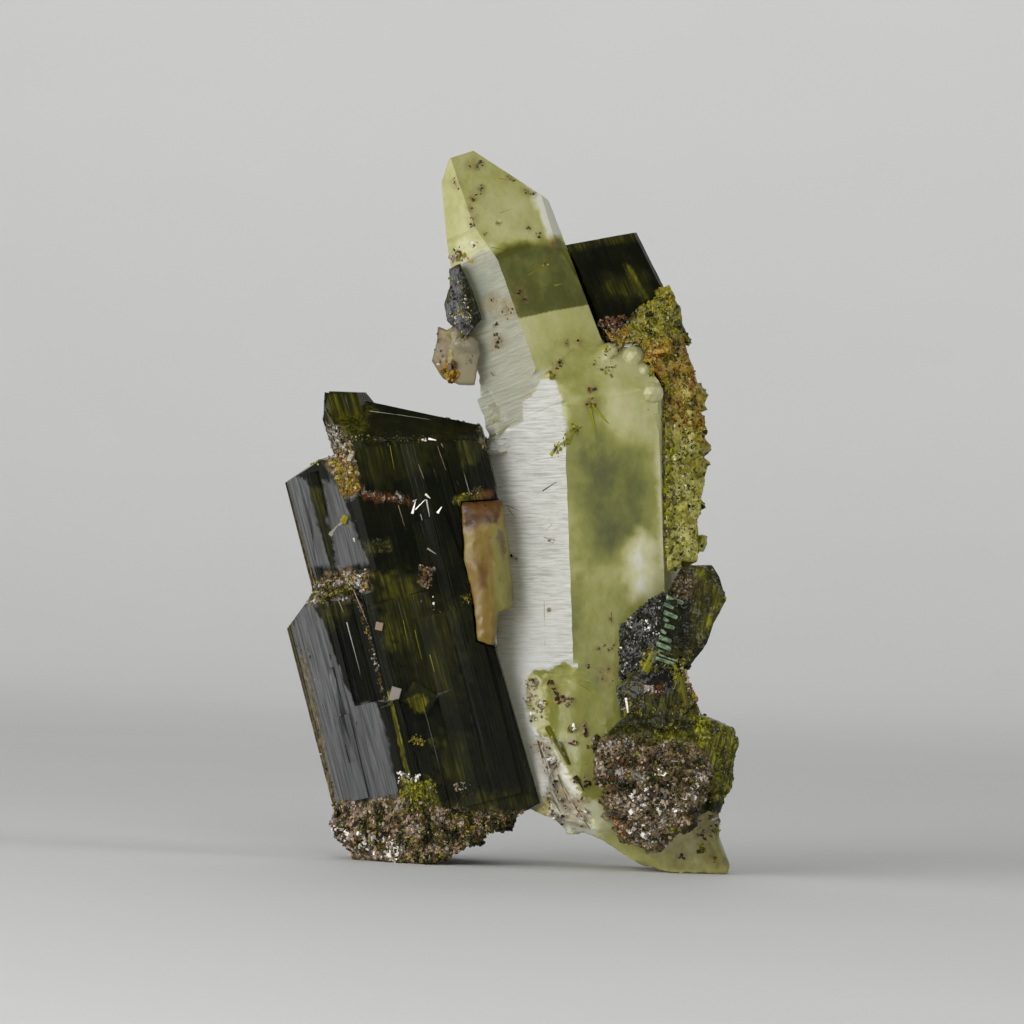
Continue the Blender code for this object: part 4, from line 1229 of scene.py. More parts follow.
def stained_piece(node, name, material, edge_length, rounds, clouds, stains):
    """A piece of stained quartz, smoothed some times over, as if by etching."""
    bm = facets_of(node)
    fine_faces(bm, edge_length, everywhere)
    press(bm, CHIP_FACE, depth=-0.5, grain=2.0, seed=9)
    press(bm, WEDGE_FACE, depth=-0.16, grain=2.0, seed=9)
    for _round in range(rounds):
        bmesh.ops.smooth_vert(bm, verts=bm.verts, factor=0.5, use_axis_y=True)
    roughen(bm, everywhere, edge_length, height=0.05, grain=0.9, seed=10)
    paint(bm, "cloud", lambda face: 0.5, clouds)
    paint(bm, "stain", nothing, stains)
    smooth_all(bm)
    return finish_piece(bm, name, material, "stained_quartz", node)


def stained_wedge(material):
    """The amber wedge between the left epidote and the lower quartz."""
    clouds = (
        Region(((-4.1, 28), (-0.8, 28.1), (-1.2, 26), (-2.3, 26.1), (-3.7, 25.3)), -0.1, 0.3, 0.3),
        Region(((-1.6, 25.9), (-0.6, 25.7), (0.4, 19.8), (-1.1, 19.1), (-1.4, 23.2)), 0.8, 0.3, 0.3),
        Region(((-3.1, 25.4), (-1.8, 25.5), (-1.3, 20.2), (-2.5, 19.7)), 0.42, 0.5, 0.4),
        Region(((-2.6, 23.2), (-2, 23.1), (-1.8, 21.1), (-2.4, 21.2)), 0.15, 0.3, 0.3, 0.4),
    )
    stains = (
        Region(((-3.7, 27.4), (-1.3, 27.6), (-1.4, 26.6), (-3.3, 26.3)), 0.35, 0.3, 0.4),
        Region(((-2.8, 20.4), (-1.3, 20.2), (-1.3, 17.2), (-2.4, 17.1)), 0.5, 0.5, 0.5),
        Region(((-3.7, 23.1), (-2.9, 23.2), (-2.4, 20.2), (-3, 20.1)), 0.6, 0.3, 0.3),
    )
    return stained_piece("quartz_wedge", "stained_quartz_wedge", material, 0.35, 24, clouds, stains)


def stained_chip(material):
    """The tan chip on the upper left of the quartz."""
    clouds = (
        Region(((-7.3, 41.2), (-5.4, 41.3), (-5.2, 36.4), (-7.1, 36.3)), 0.88, 0.4, 0.3),
        Region(((-5.4, 41.3), (-2.7, 41), (-2.5, 36.1), (-4.7, 36)), 1.1, 0.5, 0.4),
    )
    stains = (Region(((-5.9, 38), (-5.1, 38.1), (-4.8, 36.8), (-5.6, 36.8)), 2.0, 0.2, 0.2),)
    return stained_piece("quartz_shoulder", "stained_quartz_chip", material, 0.3, 4, clouds, stains)


def surface_of(*nodes):
    """The joined skin of some nodes in millimetres, for shots to meet."""
    bm = bmesh.new()
    for node in nodes:
        bm.from_mesh(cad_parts[node].data)
    bmesh.ops.scale(bm, vec=(1 / MM, 1 / MM, 1 / MM), verts=bm.verts)
    tree = BVHTree.FromBMesh(bm)
    bm.free()
    return tree


# The minerals of the crusts, as places in the colours of MINERALS
BROWN_CRUST = (0.0, 0.0, 0.06, 0.12, 0.65, 0.7, 0.25, 0.7, 0.76, 0.8, 0.82, 0.86)
DARK_CRUST = (0.0, 0.0, 0.06, 0.6, 0.12, 0.7, 0.7, 0.82)
OLIVE_CRUST = (0.0, 0.06, 0.12, 0.12, 0.25, 0.3, 0.7)
RUST_CRUST = (0.0, 0.6, 0.6, 0.55, 0.52, 0.7, 0.82)
YELLOW_CRUST = (0.12, 0.12, 0.25, 0.25, 0.3, 0.34)
MIXED_CRUST = (0.0, 0.06, 0.12, 0.32, 0.6, 0.7, 0.7, 0.82, 0.92)
SILVER_CRUST = (0.0, 0.7, 0.91, 0.91, 0.95, 0.82)
# White grains, partly white mineral and partly painted glints
SPARKLES = (0.98, 1.0, 0.92)


def crust_of(nodes, name, material, slot, plans):
    """One crust on some nodes. A plan is shots, the sizes of the grains and their tints."""
    surface = surface_of(*nodes)
    meshes = []
    for seed, (shots, sizes, tints) in enumerate(plans, FIRST_SEED):
        meshes += grains(surface, shots, sizes, tints, seed)
    return finish_piece(join_meshes(meshes), name, material, slot)


def left_foot_crust(material):
    """The band of small crystals round the broken foot of the left epidote."""
    foot = (
        (-14.5, 3.8), (-12, 4.4), (-9.8, 4.7), (-8.3, 5.1), (-7, 4.8), (-4.8, 4.5), (-3.9, 0.7), (-6.9, 0.1),
        (-9.8, 0.2), (-12.9, 1.9),
    )
    rim = ((-5.6, 4.4), (-2.5, 4.2), (3.1, 4.2), (3.2, 3.8), (1, 2.7), (-1.4, 1.7), (-5, 0.3), (-7.7, 0.1))
    lower_left = ((-13.5, 2.5), (-11.9, 2.2), (-7.8, 1.9), (-7.3, 0.3), (-10.7, 0.4), (-12.9, 1.7))
    ways = (TO_BACK, TO_RIGHT, TO_FRONT, TO_LEFT)
    plans = (
        (shots_at(foot, 4800, 31), (0.1, 0.42), BROWN_CRUST),
        (shots_at(rim, 1900, 32), (0.08, 0.24), (0.0, 0.12, 0.12, 0.25, 0.7, 0.7, 0.82)),
        (shots_at(lower_left, 330, 33), (0.12, 0.48), (0.7, 0.82, 0.92, 0.98, 1.0)),
        (shots_through((-16, -3, 0.4), (2, 8, 3.4), ways, 1500, 34), (0.12, 0.4), DARK_CRUST),
    )
    return crust_of(("epidote_left",), "left_foot_crust", material, "epidote", plans)


def left_seam_crust(material):
    """The small crystals along the seams and on the ledges of the left epidote."""
    plans = (
        (
            shots_at(
                ((-15.8, 20.3), (-13.8, 21.7), (-11.1, 22.1), (-10.6, 20.8), (-12.6, 19.8), (-15.5, 19.4)),
                900, 35,
            ),
            (0.08, 0.32), MIXED_CRUST,
        ),
        (
            shots_along(((-15.4, 19.8), (-13.7, 20.2), (-12.2, 20.6)), 0.2, 200, 36), (0.08, 0.3),
            YELLOW_CRUST,
        ),
        (
            shots_along(((-11.4, 27.9), (-9.8, 27.7), (-7.8, 27.3)), 0.1, 400, 37), (0.06, 0.22),
            (0.0, 0.0, 0.6, 0.62, 0.68, 0.82),
        ),
        (shots_along(((-8.9, 28.1), (-8.4, 27.7)), 0.12, 60, 38), (0.1, 0.3), SILVER_CRUST),
        (
            shots_along(((-4.9, 27.5), (-3.7, 28), (-2.4, 28.6)), 0.12, 170, 39), (0.06, 0.24),
            (0.06, 0.12, 0.12, 0.25, 0.36),
        ),
        (
            shots_at(((-14.8, 33), (-13.6, 33), (-12.7, 30.8), (-14.4, 30.3)), 700, 40), (0.08, 0.26),
            SILVER_CRUST,
        ),
        (
            shots_at(((-14.1, 30.7), (-12.6, 31.9), (-11.7, 28.3), (-12.8, 27.4), (-13.7, 28.8)), 620, 41),
            (0.08, 0.36), (0.82, 0.7, 0.5, 0.38, 0.34, 0.25, 0.82),
        ),
        (
            shots_at(((-11.9, 24.5), (-9.3, 24.5), (-9.1, 23.6), (-11.4, 23.2)), 170, 42), (0.06, 0.2),
            (0.0, 0.06, 0.12, 0.12),
        ),
        (
            shots_at(((-7.1, 22.6), (-5.8, 22.5), (-6.2, 20.9), (-6.9, 21.1)), 260, 43), (0.08, 0.36),
            (0.0, 0.6, 0.7, 0.7, 0.82),
        ),
        (shots_at(((-7.9, 6.5), (-5.3, 6.3), (-4.7, 4.3), (-7.7, 3.9)), 620, 44), (0.08, 0.4), YELLOW_CRUST),
        (shots_along(((-7, 9.6), (-6.5, 9.2)), 0.18, 200, 45), (0.1, 0.34), (0.25, 0.3, 0.36)),
        (
            shots_through((-3.2, -4, 31.6), (-1.4, 2, 34), (TO_LEFT,), 300, 54), (0.12, 0.4),
            (0.0, 0.06, 0.12, 0.25),
        ),
        (shots_at(((-4, 6.2), (-2.6, 6.5), (-2.3, 5.3), (-3.6, 5.1)), 30, 55), (0.08, 0.3), SILVER_CRUST),
        (shots_along(((-12.2, 21.1), (-10.8, 17.7), (-9.3, 12.3)), 0.1, 300, 46), (0.06, 0.24), MIXED_CRUST),
        (shots_along(((-17.2, 29.5), (-16, 30.1), (-14.7, 30.4)), 0.12, 160, 47), (0.06, 0.3), YELLOW_CRUST),
        (shots_about((((-17.4, 29.6), 0.5),), 40, 48), (0.15, 0.4), (0.3, 0.36)),
        (
            shots_along(((-15.9, 16.6), (-14.8, 12.1), (-13.4, 6.1), (-13, 3.7)), 0.25, 260, 49),
            (0.05, 0.22), MIXED_CRUST,
        ),
        (shots_at(((-8.3, 6.9), (-5.7, 6.7), (-5.8, 6.1), (-8.1, 6.2)), 90, 50), (0.08, 0.32), SPARKLES),
        (shots_about((((-7, 32.1), 0.2), ((-6.1, 19.8), 0.6)), 14, 51), (0.08, 0.3), SPARKLES),
        (
            shots_along(((-14.1, 31.9), (-12.5, 32.2), (-10.4, 32), (-7.3, 32)), 0.15, 220, 52), (0.05, 0.2),
            OLIVE_CRUST,
        ),
        (shots_about((((-3.3, 20.3), 0.5), ((-12.6, 25.9), 0.5)), 60, 53), (0.08, 0.3), YELLOW_CRUST),
    )
    return crust_of(("epidote_left",), "left_seam_crust", material, "epidote", plans)


# On the left epidote: a rod's two ends in front view, its width and its tint
SLIVERS = (
    ((-7.7, 26.5), (-7.5, 27.5), 0.24, 0.97), ((-7.5, 26.8), (-6.6, 27.8), 0.13, 1.0),
    ((-6.7, 27.6), (-6.4, 26.3), 0.18, 0.96), ((-5.8, 26.6), (-5.5, 27.1), 0.26, 1.0),
    ((-6.8, 28), (-6.4, 27.7), 0.24, 1.0), ((-6.5, 23.9), (-5.8, 23.5), 0.2, 0.88),
    ((-6.7, 32.2), (-6.1, 32.1), 0.24, 1.0), ((-9, 28), (-8.4, 27.6), 0.22, 0.9),
    ((-7.7, 27.4), (-7.4, 27.6), 0.2, 0.92), ((-12.1, 24.5), (-12, 24.2), 0.26, 1.0),
)
BLADES = (((-13.9, 24.7), (-12.8, 25.9), 0.42, 0.90), ((-12.9, 25.7), (-12.6, 26.2), 0.60, 0.31))
RIBS = (
    ((-7.7, 31), (-6.7, 28.6), 0.1, 0.86), ((-5.7, 31.9), (-5.1, 30.7), 0.08, 0.86),
    ((-4.7, 32.2), (-3.4, 28.1), 0.1, 0.9), ((-7.1, 26.5), (-6.4, 24.3), 0.09, 0.9),
    ((-12.4, 18.1), (-10.7, 12.5), 0.17, 0.95), ((-13.3, 20.2), (-12.3, 18), 0.1, 0.88),
    ((-12.1, 20.9), (-10.8, 18), 0.1, 0.86), ((-5.2, 31), (-4.3, 28.8), 0.06, 0.78),
    ((-8.8, 27.1), (-8.2, 25.3), 0.06, 0.78), ((-6.2, 29.9), (-5.6, 28.2), 0.05, 0.78),
    ((-6, 31.7), (-5.3, 29.9), 0.05, 0.78), ((-9.6, 31.6), (-9.2, 29.8), 0.05, 0.3),
    ((-8.1, 18.4), (-7.6, 16.2), 0.05, 0.3), ((-7.2, 17.7), (-6.6, 15.5), 0.05, 0.3),
    ((-6, 15.9), (-5.6, 14.6), 0.1, 0.3), ((-5.4, 19.3), (-4.5, 17), 0.05, 0.3),
    ((-11.3, 34.2), (-9.2, 34), 0.1, 0.9), ((-9.2, 34), (-6.6, 33.7), 0.06, 0.86),
)
# Painted shade: black rods along the cracks, standing for the shade inside them
CRACKS = (
    ((-14, 11.8), (-13, 8.4), 0.14, 0.0), ((-13.6, 15.6), (-12.6, 12.1), 0.12, 0.0),
    ((-11.7, 13), (-10.6, 10.3), 0.12, 0.0), ((-11.4, 10.6), (-10.1, 7), 0.1, 0.0),
    ((-10.2, 10.4), (-8.7, 5.9), 0.1, 0.0), ((-15.6, 18.3), (-14.8, 16.7), 0.26, 0.0),
    ((-12.2, 8.8), (-11.2, 5.8), 0.06, 0.0), ((-15, 22.7), (-15.8, 27.3), 0.08, 0.0),
    ((-13.2, 4.6), (-12.8, 6.1), 0.1, 0.02),
)
# On the left epidote: a plate's middle in front view, width, length, turn and tint
PLATES = (
    ((-8.5, 12.8), 0.75, 1.05, 14, 0.885), ((-9.9, 17.9), 0.55, 0.6, 10, 0.78),
    ((-12.6, 30.6), 0.3, 0.6, 15, 0.95),
)


def left_shards(material):
    """The white slivers, bright ribs and dark cracks on the front of the left epidote; the cracks are
    black rods that are painted shade.
    """
    surface = surface_of("epidote_left")
    bm = new_crust()
    rods_on_front(bm, surface, SLIVERS, depth=-0.15, sides=3, taper=0.25)
    rods_on_front(bm, surface, BLADES, depth=-0.4, sides=4, taper=0.6)
    rods_on_front(bm, surface, RIBS, depth=0.15, sides=4, taper=0.4)
    rods_on_front(bm, surface, CRACKS, depth=0.2, sides=4, taper=0.3)
    plates_on_front(bm, surface, PLATES)
    return finish_piece(bm, "left_epidote_slivers", material, "epidote")


# On the quartz: a rod's two ends in front view, its width and its tint
NEEDLES = (
    ((0.4, 44.9), (1.6, 45.7), 0.16, 0.27), ((1.5, 45.6), (1.7, 46.2), 0.24, 0.32),
    ((2.4, 44.2), (3.4, 44.5), 0.22, 0.28), ((1.3, 43.9), (2.4, 44.2), 0.12, 0.2),
    ((5.6, 35.2), (6.9, 33.8), 0.36, 0.25), ((5.4, 35.2), (6.2, 32), 0.42, 0.22),
    ((3.8, 32.2), (4.6, 33.6), 0.6, 0.22), ((4, 33.1), (4.9, 33.5), 0.4, 0.2),
    ((2.6, 31.3), (3.3, 32.5), 0.45, 0.25), ((3.1, 32), (3.7, 32.4), 0.3, 0.25),
    ((2.1, 28.6), (3.1, 29.3), 0.12, 0.02), ((3, 29.2), (4.1, 29.7), 0.08, 0.65),
    ((2.3, 25.1), (3.4, 24.8), 0.05, 0.7), ((3.3, 24.8), (4.5, 24.5), 0.07, 0.7),
    ((2.9, 26.1), (2.2, 25.3), 0.05, 0.7), ((-0.6, 27.4), (0.4, 27), 0.1, 0.8),
    ((-0.5, 27.2), (0.2, 26.3), 0.08, 0.8), ((-3.6, 47.3), (-2.4, 46.9), 0.1, 0.66),
    ((-2.4, 46.9), (-1, 46.7), 0.07, 0.66), ((-1.9, 49.6), (-0.7, 50.1), 0.07, 0.45),
    ((-3, 45.8), (-1.8, 46.3), 0.05, 0.6), ((-2.1, 52.3), (-0.5, 52.1), 0.08, 0.5),
    ((9.8, 35), (10.9, 35.1), 0.16, 0.02), ((-0.8, 43.6), (0.6, 43), 0.05, 0.1),
    ((7.6, 19.6), (7.7, 18.5), 0.14, 0.66), ((5.4, 14.1), (6.2, 13.6), 0.05, 0.3),
    ((2.5, 20.3), (2.7, 16.5), 0.04, 0.33), ((2.4, 9.6), (3, 7.6), 0.14, 0.66),
    ((2.9, 8.5), (3.9, 6.4), 0.12, 0.6), ((4, 7.2), (4.8, 5.3), 0.16, 0.7),
    ((3.2, 6.1), (4.3, 4.3), 0.14, 0.64), ((4.4, 6.3), (5.6, 4.4), 0.12, 0.82),
    ((5, 5.3), (6.6, 3.2), 0.14, 0.66), ((2.7, 9.1), (3.6, 7), 0.14, 0.92), ((3.6, 6), (4.7, 4), 0.16, 0.92),
    ((5.3, 7.2), (6, 6.1), 0.2, 0.02), ((1.4, 30.9), (3.7, 31.3), 0.03, 0.33),
    ((-0.3, 30.1), (2.6, 30.3), 0.03, 0.33), ((1.5, 17.3), (4.3, 17.5), 0.03, 0.33),
)
BROAD_NEEDLES = (((3.1, 10.7), (4, 9.3), 0.46, 0.16), ((3.9, 9.6), (4.8, 8), 0.46, 0.14))
# Where pale and green specks sit in the skin of the quartz, and how far each spreads
PALE_SPECKS = (
    ((-5.6, 46.1), 0.5), ((-5.1, 46.4), 0.5), ((1.7, 13.9), 0.5), ((2.5, 12.5), 0.4), ((1.7, 12.7), 0.6),
    ((2.2, 11.6), 0.6), ((2.7, 9.3), 0.6), ((3.5, 8.2), 0.5), ((3.4, 4.3), 0.7), ((4.1, 5.2), 0.6),
    ((6, 4.2), 0.6), ((4.9, 10.7), 0.3), ((-0.6, 23.3), 0.1), ((3, 24.8), 0.25), ((-3.8, 47.1), 0.3),
    ((-1.9, 48.8), 0.2), ((16.1, 4.1), 0.5), ((15.8, 5.6), 0.5),
)
GREEN_SPECKS = (
    ((1.7, 45.9), 0.2), ((6.4, 39.3), 0.6), ((7, 38.5), 0.6), ((5.9, 38.6), 0.5), ((6.9, 37.8), 0.5),
    ((2.6, 37.3), 0.2), ((7.6, 39.5), 0.4), ((4.3, 33.3), 0.5), ((3.7, 32.2), 0.4), ((3, 31.7), 0.4),
    ((-2.2, 32.3), 0.3), ((-1.8, 39.5), 0.2), ((16.2, 4.9), 0.4), ((15.2, 2), 0.4), ((16.6, 3.6), 0.4),
    ((-1.5, 32.3), 0.3), ((-2.3, 31.8), 0.2),
)


def quartz_inclusions(material):
    """The needles, cracks and specks of epidote that sit in the skin of the quartz."""
    surface = surface_of("quartz_pair")
    bm = new_crust()
    rods_on_front(bm, surface, NEEDLES, depth=0.28, sides=5, taper=0.5)
    rods_on_front(bm, surface, BROAD_NEEDLES, depth=0.0, sides=5, taper=0.6)
    meshes = [as_mesh(bm, "needles")]
    plans = (
        (DARK_SPECKS, 5, (0.1, 0.36), (0.0, 0.02, 0.6, 0.7)),
        (RUSTY_SPECKS, 9, (0.06, 0.26), (0.0, 0.6, 0.7, 0.6, 0.82)),
        (PALE_SPECKS, 18, (0.08, 0.34), (0.82, 0.86, 0.92, 0.98, 0.33, 0.74)),
        (GREEN_SPECKS, 14, (0.08, 0.34), (0.25, 0.2, 0.3, 0.12, 0.36)),
    )
    for seed, (places, count, sizes, tints) in enumerate(plans):
        meshes += grains(surface, shots_about(places, count, seed + 70), sizes, tints, seed + 80)
    behind = shots_through((-5, 0, 3), (16, 8, 52), (TO_FRONT,), 320, 91)
    meshes += grains(surface, behind, (0.1, 0.5), (0.0, 0.12, 0.25, 0.6, 0.7, 0.82), 92)
    ledge = shots_about((((-5.4, 46.1), 0.35), ((-5, 46.4), 0.35), ((-4.5, 46.1), 0.3)), 9, 93)
    meshes += grains(surface, ledge, (0.25, 0.7), (0.34, 0.33, 0.84, 0.87), 94)
    return finish_piece(join_meshes(meshes), "quartz_inclusions", material, "epidote")


def seam_grains(material):
    """The dark grains and yellow green edges where the sheaf stands on the foot crystal."""
    surface = surface_of("epidote_fan", "epidote_foot")
    rims = (
        ((10.2, 15.3), (10.8, 16.8), 0.44, 0.25), ((10.4, 15.2), (11, 16.4), 0.3, 0.2),
        ((12.4, 15.8), (12.9, 15.2), 0.24, 0.22), ((12.9, 15.2), (12.5, 14), 0.2, 0.18),
        ((13, 15), (13.5, 12.8), 0.5, 0.15), ((8.9, 13.2), (9.1, 12.1), 0.26, 1.0),
    )
    bm = new_crust()
    rods_on_front(bm, surface, rims, depth=0.0, sides=4, taper=0.6)
    meshes = [as_mesh(bm, "rims")]
    seam = shots_along(((9.6, 15.4), (14, 15.6)), 0.10, 400, 67)
    meshes += grains(surface, seam, (0.10, 0.30), (0.0, 0.06, 0.12), 68)
    return finish_piece(join_meshes(meshes), "seam_grains", material, "epidote")


def shoulder_grains(material):
    """The grains on the small crystal at the left shoulder of the upper quartz, and the golden drop
    and the brown specks on the tan chip below it.
    """
    patch = ((-5.7, 44.7), (-4.6, 44.3), (-3.7, 41.7), (-4.4, 40.1), (-5.7, 41.9))
    plans = (
        (shots_at(patch, 420, 90), (0.06, 0.24), (0.0, 0.0, 0.12, 0.7, 0.91, 0.95, 0.34)),
        (
            shots_about((((-5.4, 37.6), 0.5), ((-5.1, 37.1), 0.4)), 40, 95), (0.25, 0.7),
            (0.38, 0.46, 0.42, 0.5, 0.36),
        ),
        (
            shots_along(((-4.7, 40.3), (-3.8, 39.4), (-3.5, 38.2)), 0.35, 70, 96), (0.08, 0.34),
            (0.6, 0.7, 0.82, 0.34, 0.12),
        ),
        (
            shots_along(((-6.3, 40.5), (-6.5, 39), (-5.8, 37.2)), 0.2, 60, 97), (0.08, 0.3),
            (0.82, 0.7, 0.38, 0.86),
        ),
    )
    return crust_of(("epidote_shoulder", "quartz_shoulder"), "shoulder_grains", material, "epidote", plans)


def foot_crust(material):
    """The sparkling broken end of the foot crystal, and the grains round it."""
    end = (
        (6.9, 9.6), (8.2, 10.5), (10.1, 10.3), (13.9, 10), (15, 9.3), (15.7, 7.9), (15.4, 6), (14.1, 4.5),
        (12.2, 2), (11, 2), (9.5, 2.5), (8.4, 4.8), (8.1, 6.5), (7.2, 8),
    )
    plans = (
        (
            shots_at(end, 5200, 51),
            (0.1, 0.4),
            (0.0, 0.06, 0.12, 0.2, 0.65, 0.7, 0.7, 0.76, 0.82, 0.86, 0.91),
        ),
        (
            shots_at(
                ((8.4, 5.4), (11.8, 7.4), (15.1, 7.9), (15.1, 6.4), (11.5, 4.4), (11.9, 2), (9.3, 2.7)), 380,
                52,
            ),
            (0.16, 0.55), (0.7, 0.82, 0.86, 0.98, 1.0),
        ),
        (
            shots_about(
                (
                    ((10.3, 5.5), 0.7), ((13.5, 5.4), 0.7), ((14.8, 7.3), 0.6), ((11.7, 7.6), 0.5),
                    ((11.3, 2.6), 0.7),
                ),
                36, 53,
            ),
            (0.1, 0.42), SPARKLES,
        ),
        (
            shots_at(((7.1, 9.7), (10.1, 10), (14.7, 9.4), (14, 8.2), (8.7, 7.8)), 900, 54), (0.08, 0.3),
            (0.0, 0.6, 0.7, 0.6, 0.82),
        ),
        (shots_along(((8.1, 6.9), (8.5, 4.5), (9.5, 2.5)), 0.22, 420, 55), (0.08, 0.34), RUST_CRUST),
        (
            shots_at(((10.2, 7.3), (13.3, 6.7), (12.2, 4.6), (10.3, 5.5)), 300, 56), (0.12, 0.4),
            (0.0, 0.06, 0.12),
        ),
        (shots_at(((8.7, 13), (14.6, 13.6), (15.1, 10.2), (7.9, 10.1)), 500, 57), (0.06, 0.24), OLIVE_CRUST),
        (
            shots_at(
                ((14.6, 12.3), (17.5, 11.6), (17.6, 9.5), (16.8, 5.8), (15.5, 5.6), (15.7, 8.3)), 900, 58,
            ),
            (0.06, 0.3), (0.1, 0.14, 0.18, 0.22, 0.22, 0.25),
        ),
        (
            shots_at(((10.3, 14.2), (11.8, 14.3), (11.7, 13.6), (10.3, 13.6)), 120, 59), (0.08, 0.34),
            (0.6, 0.82, 0.92),
        ),
        (
            shots_at(((6.3, 10.2), (8, 10.3), (7.7, 7.6), (8.4, 4.6), (7.6, 5.4)), 420, 60), (0.1, 0.34),
            BROWN_CRUST,
        ),
        (
            shots_at(((8.2, 14.3), (10, 14.2), (10.1, 11.8), (8.4, 11.8)), 420, 64), (0.08, 0.3),
            (0.0, 0.06, 0.12, 0.6, 0.7, 0.25),
        ),
        (
            shots_along(((13.1, 15.6), (13.8, 14.2), (14.6, 12.2)), 0.12, 160, 61), (0.08, 0.3),
            (0.7, 0.82, 0.34),
        ),
        (
            shots_along(((10.4, 15.9), (12.4, 16.1), (12.8, 14.3)), 0.1, 200, 62), (0.08, 0.28),
            (0.12, 0.25, 0.3),
        ),
        (shots_through((5.6, -8.5, 1.8), (17, -1, 13), (TO_LEFT, TO_TOP), 700, 63), (0.12, 0.4), DARK_CRUST),
    )
    return crust_of(("epidote_foot",), "foot_crust", material, "epidote", plans)


def sheaf_details(material):
    """The steps on the front of the sheaf, glittering with white grains that are painted glints, its
    brown grains and its yellow rim.
    """
    steps = (
        (8.3, 18.6), (8.8, 19.1), (9.8, 20), (10.5, 20.7), (11.3, 21.1), (11.4, 19.7), (11.2, 17.6),
        (10.8, 16.7), (10, 15.1), (9.2, 14.2), (8.4, 14.2),
    )
    plans = (
        (shots_at(steps, 1300, 61), (0.1, 0.36), (0.0, 0.0, 0.02)),
        # Painted glints: white grains scattered over the dark steps
        (shots_at(steps, 260, 62), (0.08, 0.3), (0.91, 0.95, 1.0)),
        (
            shots_at(((11.8, 22.6), (13.6, 22.6), (13.5, 20.7), (12.2, 20.8)), 460, 63), (0.06, 0.3),
            (0.0, 0.12, 0.7, 0.7, 0.82, 0.88, 0.12),
        ),
        (shots_along(((10.1, 15.5), (10.3, 16.4), (10.8, 16.8)), 0.2, 200, 64), (0.08, 0.3), (0.25, 0.3)),
        (shots_along(((11.2, 15.6), (13, 15.9), (13.7, 16.9)), 0.18, 160, 65), (0.08, 0.26), YELLOW_CRUST),
        (
            shots_along(((14.8, 23.4), (15.9, 21.6), (16.4, 20.7), (14.9, 17.6)), 0.2, 200, 66),
            (0.06, 0.24), OLIVE_CRUST,
        ),
    )
    return crust_of(("epidote_fan",), "sheaf_grains", material, "epidote", plans)


def sheaf_bars(material):
    """The pale green bars that cross the sheaf."""
    bars = (
        ((11.7, 20.9), (12.9, 20.5), 0.36, 0.0), ((11.5, 20.4), (12.2, 20.1), 0.28, 0.0),
        ((11.5, 19.8), (12.5, 19.4), 0.34, 0.0), ((11.5, 19.3), (11.9, 19.1), 0.26, 0.0),
        ((11.6, 18.8), (12.3, 18.6), 0.32, 0.0), ((11.3, 18.4), (11.7, 18.2), 0.26, 0.0),
        ((11.2, 17.9), (12.1, 17.6), 0.34, 0.0), ((11.1, 17.4), (12.1, 17), 0.34, 0.0),
        ((11.2, 16.9), (12.8, 16.4), 0.14, 0.0), ((11.2, 16.6), (12.7, 16.1), 0.14, 0.0),
        ((11.1, 16.3), (12.4, 15.9), 0.26, 0.0),
    )
    bm = new_crust()
    rods_on_front(bm, surface_of("epidote_fan"), bars, depth=-0.15, sides=4, taper=0.9)
    return finish_piece(bm, "sheaf_bars", material, "epidote")


def column_crust(material):
    """The loose grains on the granular epidote, amber above and pale olive below."""
    top = (
        (6.3, 40.9), (7.8, 42.1), (9.5, 43.5), (10.4, 44.5), (12.3, 42.5), (12.6, 39.5), (9.1, 39.7),
        (6.5, 39.7),
    )
    amber = ((8.3, 39.9), (13, 39.5), (13.4, 37.4), (14, 36.3), (14.1, 34), (11.1, 33.9), (9.5, 37.6))
    shaft = ((10.4, 34.3), (14.3, 34.4), (14.3, 32.9), (14.3, 29.1), (14, 23.6), (11.5, 23.7))
    plans = (
        (shots_at(top, 2200, 71), (0.08, 0.3), (0.0, 0.12, 0.12, 0.25, 0.22, 0.3, 0.34, 0.38)),
        (shots_at(amber, 2300, 72), (0.08, 0.3), (0.12, 0.3, 0.34, 0.38, 0.42, 0.46, 0.5, 0.56)),
        (shots_at(shaft, 1500, 73), (0.06, 0.24), (0.12, 0.25, 0.25, 0.3, 0.34, 0.38, 0.7)),
        (
            shots_about(
                (((11.2, 29.2), 0.5), ((11.4, 26.9), 0.5), ((11.8, 25.8), 0.4), ((13.3, 28.3), 1.0)), 20, 75,
            ),
            (0.08, 0.26), (0.25, 0.3, 1.0),
        ),
        (shots_at(shaft, 80, 76), (0.1, 0.3), SPARKLES),
        (
            shots_along(((11.3, 37.9), (11.6, 30.5), (12, 23.6)), 0.18, 420, 74), (0.2, 0.55),
            (0.25, 0.34, 0.25, 0.22, 0.7),
        ),
        (shots_at(shaft, 120, 78), (0.1, 0.3), (0.0, 0.6)),
        (
            shots_through((6, -4, 22.6), (14.5, 6, 44), (TO_LEFT, TO_FRONT), 900, 77), (0.12, 0.4),
            (0.12, 0.25, 0.34, 0.06),
        ),
    )
    return crust_of(("epidote_granular",), "column_grains", material, "granular_epidote", plans)


def rear_grains(material):
    """The red brown grains where the rear crystal meets the quartz and the grainy epidote."""
    patch = ((5.7, 41.8), (8.1, 42.2), (8.6, 41), (8.2, 39.8), (6.3, 39.7))
    plans = (
        (shots_at(patch, 900, 79), (0.08, 0.36), (0.0, 0.6, 0.6, 0.56, 0.7, 0.82)),
        (
            shots_along(((10.7, 44.7), (11.7, 43.6), (12.3, 42.4)), 0.12, 160, 80), (0.08, 0.3),
            (0.0, 0.82, 0.92, 0.7),
        ),
        (
            shots_along(((12.1, 42.8), (12.4, 41.5), (12.8, 40.3)), 0.3, 320, 81), (0.1, 0.34),
            (0.12, 0.25, 0.36, 0.7),
        ),
    )
    return crust_of(("epidote_rear",), "rear_grains", material, "epidote", plans)


